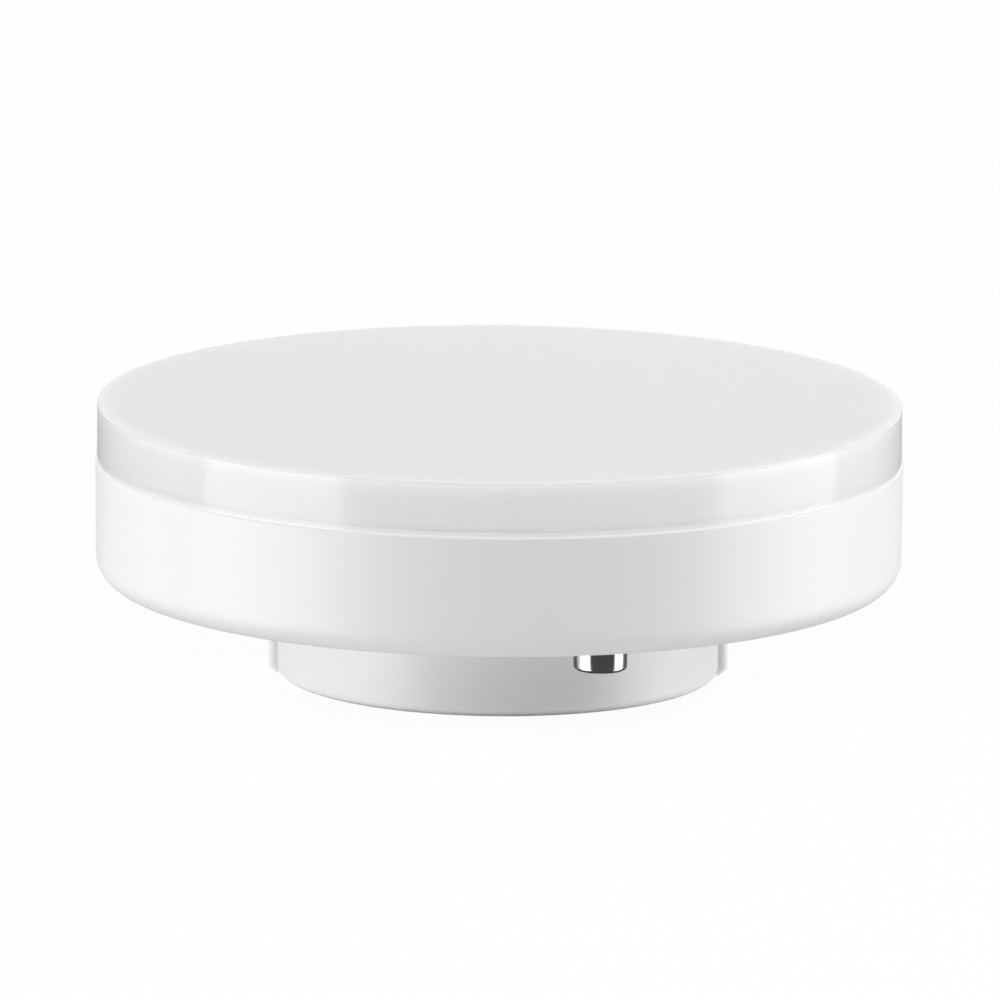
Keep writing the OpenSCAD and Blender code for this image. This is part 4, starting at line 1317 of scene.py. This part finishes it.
    def add_softbox(self, name, radiance, back, right, turns, heights, distance=1.5, mirrored=True):
        """A flat softbox that faces the lamp and covers a range of turns from the camera and of heights."""
        turn, rise = (math.radians(sum(span) / 2) for span in (turns, heights))
        half_wide, half_tall = (math.radians(span[1] - span[0]) / 2 for span in (turns, heights))
        level = back * math.cos(turn) + right * math.sin(turn)
        away = level * math.cos(rise) + Vector((0.0, 0.0, math.sin(rise)))
        light = bpy.data.lights.new(name, "AREA")
        light.shape = "RECTANGLE"
        light.size = 2 * distance * math.tan(half_wide)
        light.size_y = 2 * distance * math.tan(half_tall)
        light.energy = radiance * math.pi * light.size * light.size_y
        lamp = bpy.data.objects.new(name, light)
        lamp.location = Vector((0.0, 0.0, 0.013)) + away * distance
        lamp.rotation_euler = away.to_track_quat("Z", "Y").to_euler()
        lamp.visible_camera = False
        lamp.visible_glossy = mirrored
        bpy.context.scene.collection.objects.link(lamp)
        return lamp

    def add_flag(self, s, first_deg, last_deg):
        bm = bmesh.new()
        low, high = bm.verts.new((2.0, 0.0, -1.2)), bm.verts.new((2.0, 0.0, 0.9))
        edge = bm.edges.new((low, high))
        bmesh.ops.spin(
            bm,
            geom=[low, high, edge],
            cent=(0, 0, 0),
            axis=(0, 0, 1),
            angle=math.radians(last_deg - first_deg),
            steps=32,
        )
        start = s.azimuth - math.pi / 2 + math.radians(first_deg)
        bmesh.ops.rotate(bm, verts=bm.verts[:], cent=(0, 0, 0), matrix=Matrix.Rotation(start, 3, "Z"))
        material = bpy.data.materials.new("Dark flag")
        material.use_nodes = True
        tree = material.node_tree
        tree.nodes.remove(tree.nodes["Principled BSDF"])
        dark = node(tree, "ShaderNodeEmission", inputs={"Color": (1.0, 1.0, 1.0, 1.0)})
        strength = node(tree, "ShaderNodeMix", data_type="FLOAT", inputs={2: s.flag, 3: s.flag_mirrored})
        mirrored = tree.nodes.new("ShaderNodeLightPath").outputs["Is Glossy Ray"]
        tree.links.new(mirrored, strength.inputs[0])
        tree.links.new(strength.outputs[0], dark.inputs["Strength"])
        tree.links.new(dark.outputs[0], tree.nodes["Material Output"].inputs["Surface"])
        flag = new_piece("dark_flag", bm, material)
        flag.visible_camera = False
        flag.visible_shadow = False

    def add_camera(self, s, back, right):
        upright = Vector((0.0, 0.0, 1.0))
        away = back * math.cos(s.elevation) + upright * math.sin(s.elevation)
        up = upright * math.cos(s.elevation) - back * math.sin(s.elevation)
        side = right * math.cos(s.roll) + up * math.sin(s.roll)
        top = up * math.cos(s.roll) - right * math.sin(s.roll)
        aim = Vector((0.0, 0.0, 0.013)) + side * 0.000111 + top * 0.003334
        camera = bpy.data.cameras.new("Camera")
        camera.sensor_width = 36.0
        camera.lens = s.lens
        camera.clip_start, camera.clip_end = 0.1, 50.0
        body = bpy.data.objects.new("Camera", camera)
        basis = Matrix((side, top, away)).transposed().to_4x4()
        body.matrix_world = Matrix.Translation(aim + away * s.distance) @ basis
        bpy.context.scene.collection.objects.link(body)
        bpy.context.scene.camera = body


class DISCLAMP_PT_panel(bpy.types.Panel):
    """Lists the lamp's pieces and its stage"""

    bl_idname = "DISCLAMP_PT_panel"
    bl_label = "Disc Lamp"
    bl_space_type = "VIEW_3D"
    bl_region_type = "UI"
    bl_category = "Disc Lamp"

    def draw(self, context):
        for operator in OPERATORS:
            self.layout.operator(operator.bl_idname)
        for settings in (context.scene.disc_lamp, context.scene.disc_lamp_stage):
            column = self.layout.column()
            for name in settings.bl_rna.properties.keys():
                if name not in ("rna_type", "name"):
                    column.prop(settings, name)


OPERATORS = (
    DISCLAMP_OT_diffuser,
    DISCLAMP_OT_housing,
    DISCLAMP_OT_contact_pins,
    DISCLAMP_OT_heat_spreader,
    DISCLAMP_OT_led_board,
    DISCLAMP_OT_driver_board,
    DISCLAMP_OT_driver_chips,
    DISCLAMP_OT_driver_parts,
    DISCLAMP_OT_wires,
    DISCLAMP_OT_stage,
)
CLASSES = (LampSettings, StageSettings, *OPERATORS, DISCLAMP_PT_panel)


def register():
    for cls in CLASSES:
        bpy.utils.register_class(cls)
    bpy.types.Scene.disc_lamp = PointerProperty(type=LampSettings)
    bpy.types.Scene.disc_lamp_stage = PointerProperty(type=StageSettings)


def unregister():
    del bpy.types.Scene.disc_lamp_stage
    del bpy.types.Scene.disc_lamp
    for cls in reversed(CLASSES):
        bpy.utils.unregister_class(cls)


def main():
    register()
    bpy.context.scene.view_settings.view_transform = "Standard"
    bpy.ops.disclamp.diffuser()
    bpy.ops.disclamp.housing()
    bpy.ops.disclamp.contact_pins()
    bpy.ops.disclamp.heat_spreader()
    bpy.ops.disclamp.led_board()
    bpy.ops.disclamp.driver_board()
    bpy.ops.disclamp.driver_chips()
    bpy.ops.disclamp.driver_parts()
    bpy.ops.disclamp.wires()
    bpy.ops.disclamp.stage()
    bpy.context.view_layer.update()


if __name__ == "__main__":
    main()
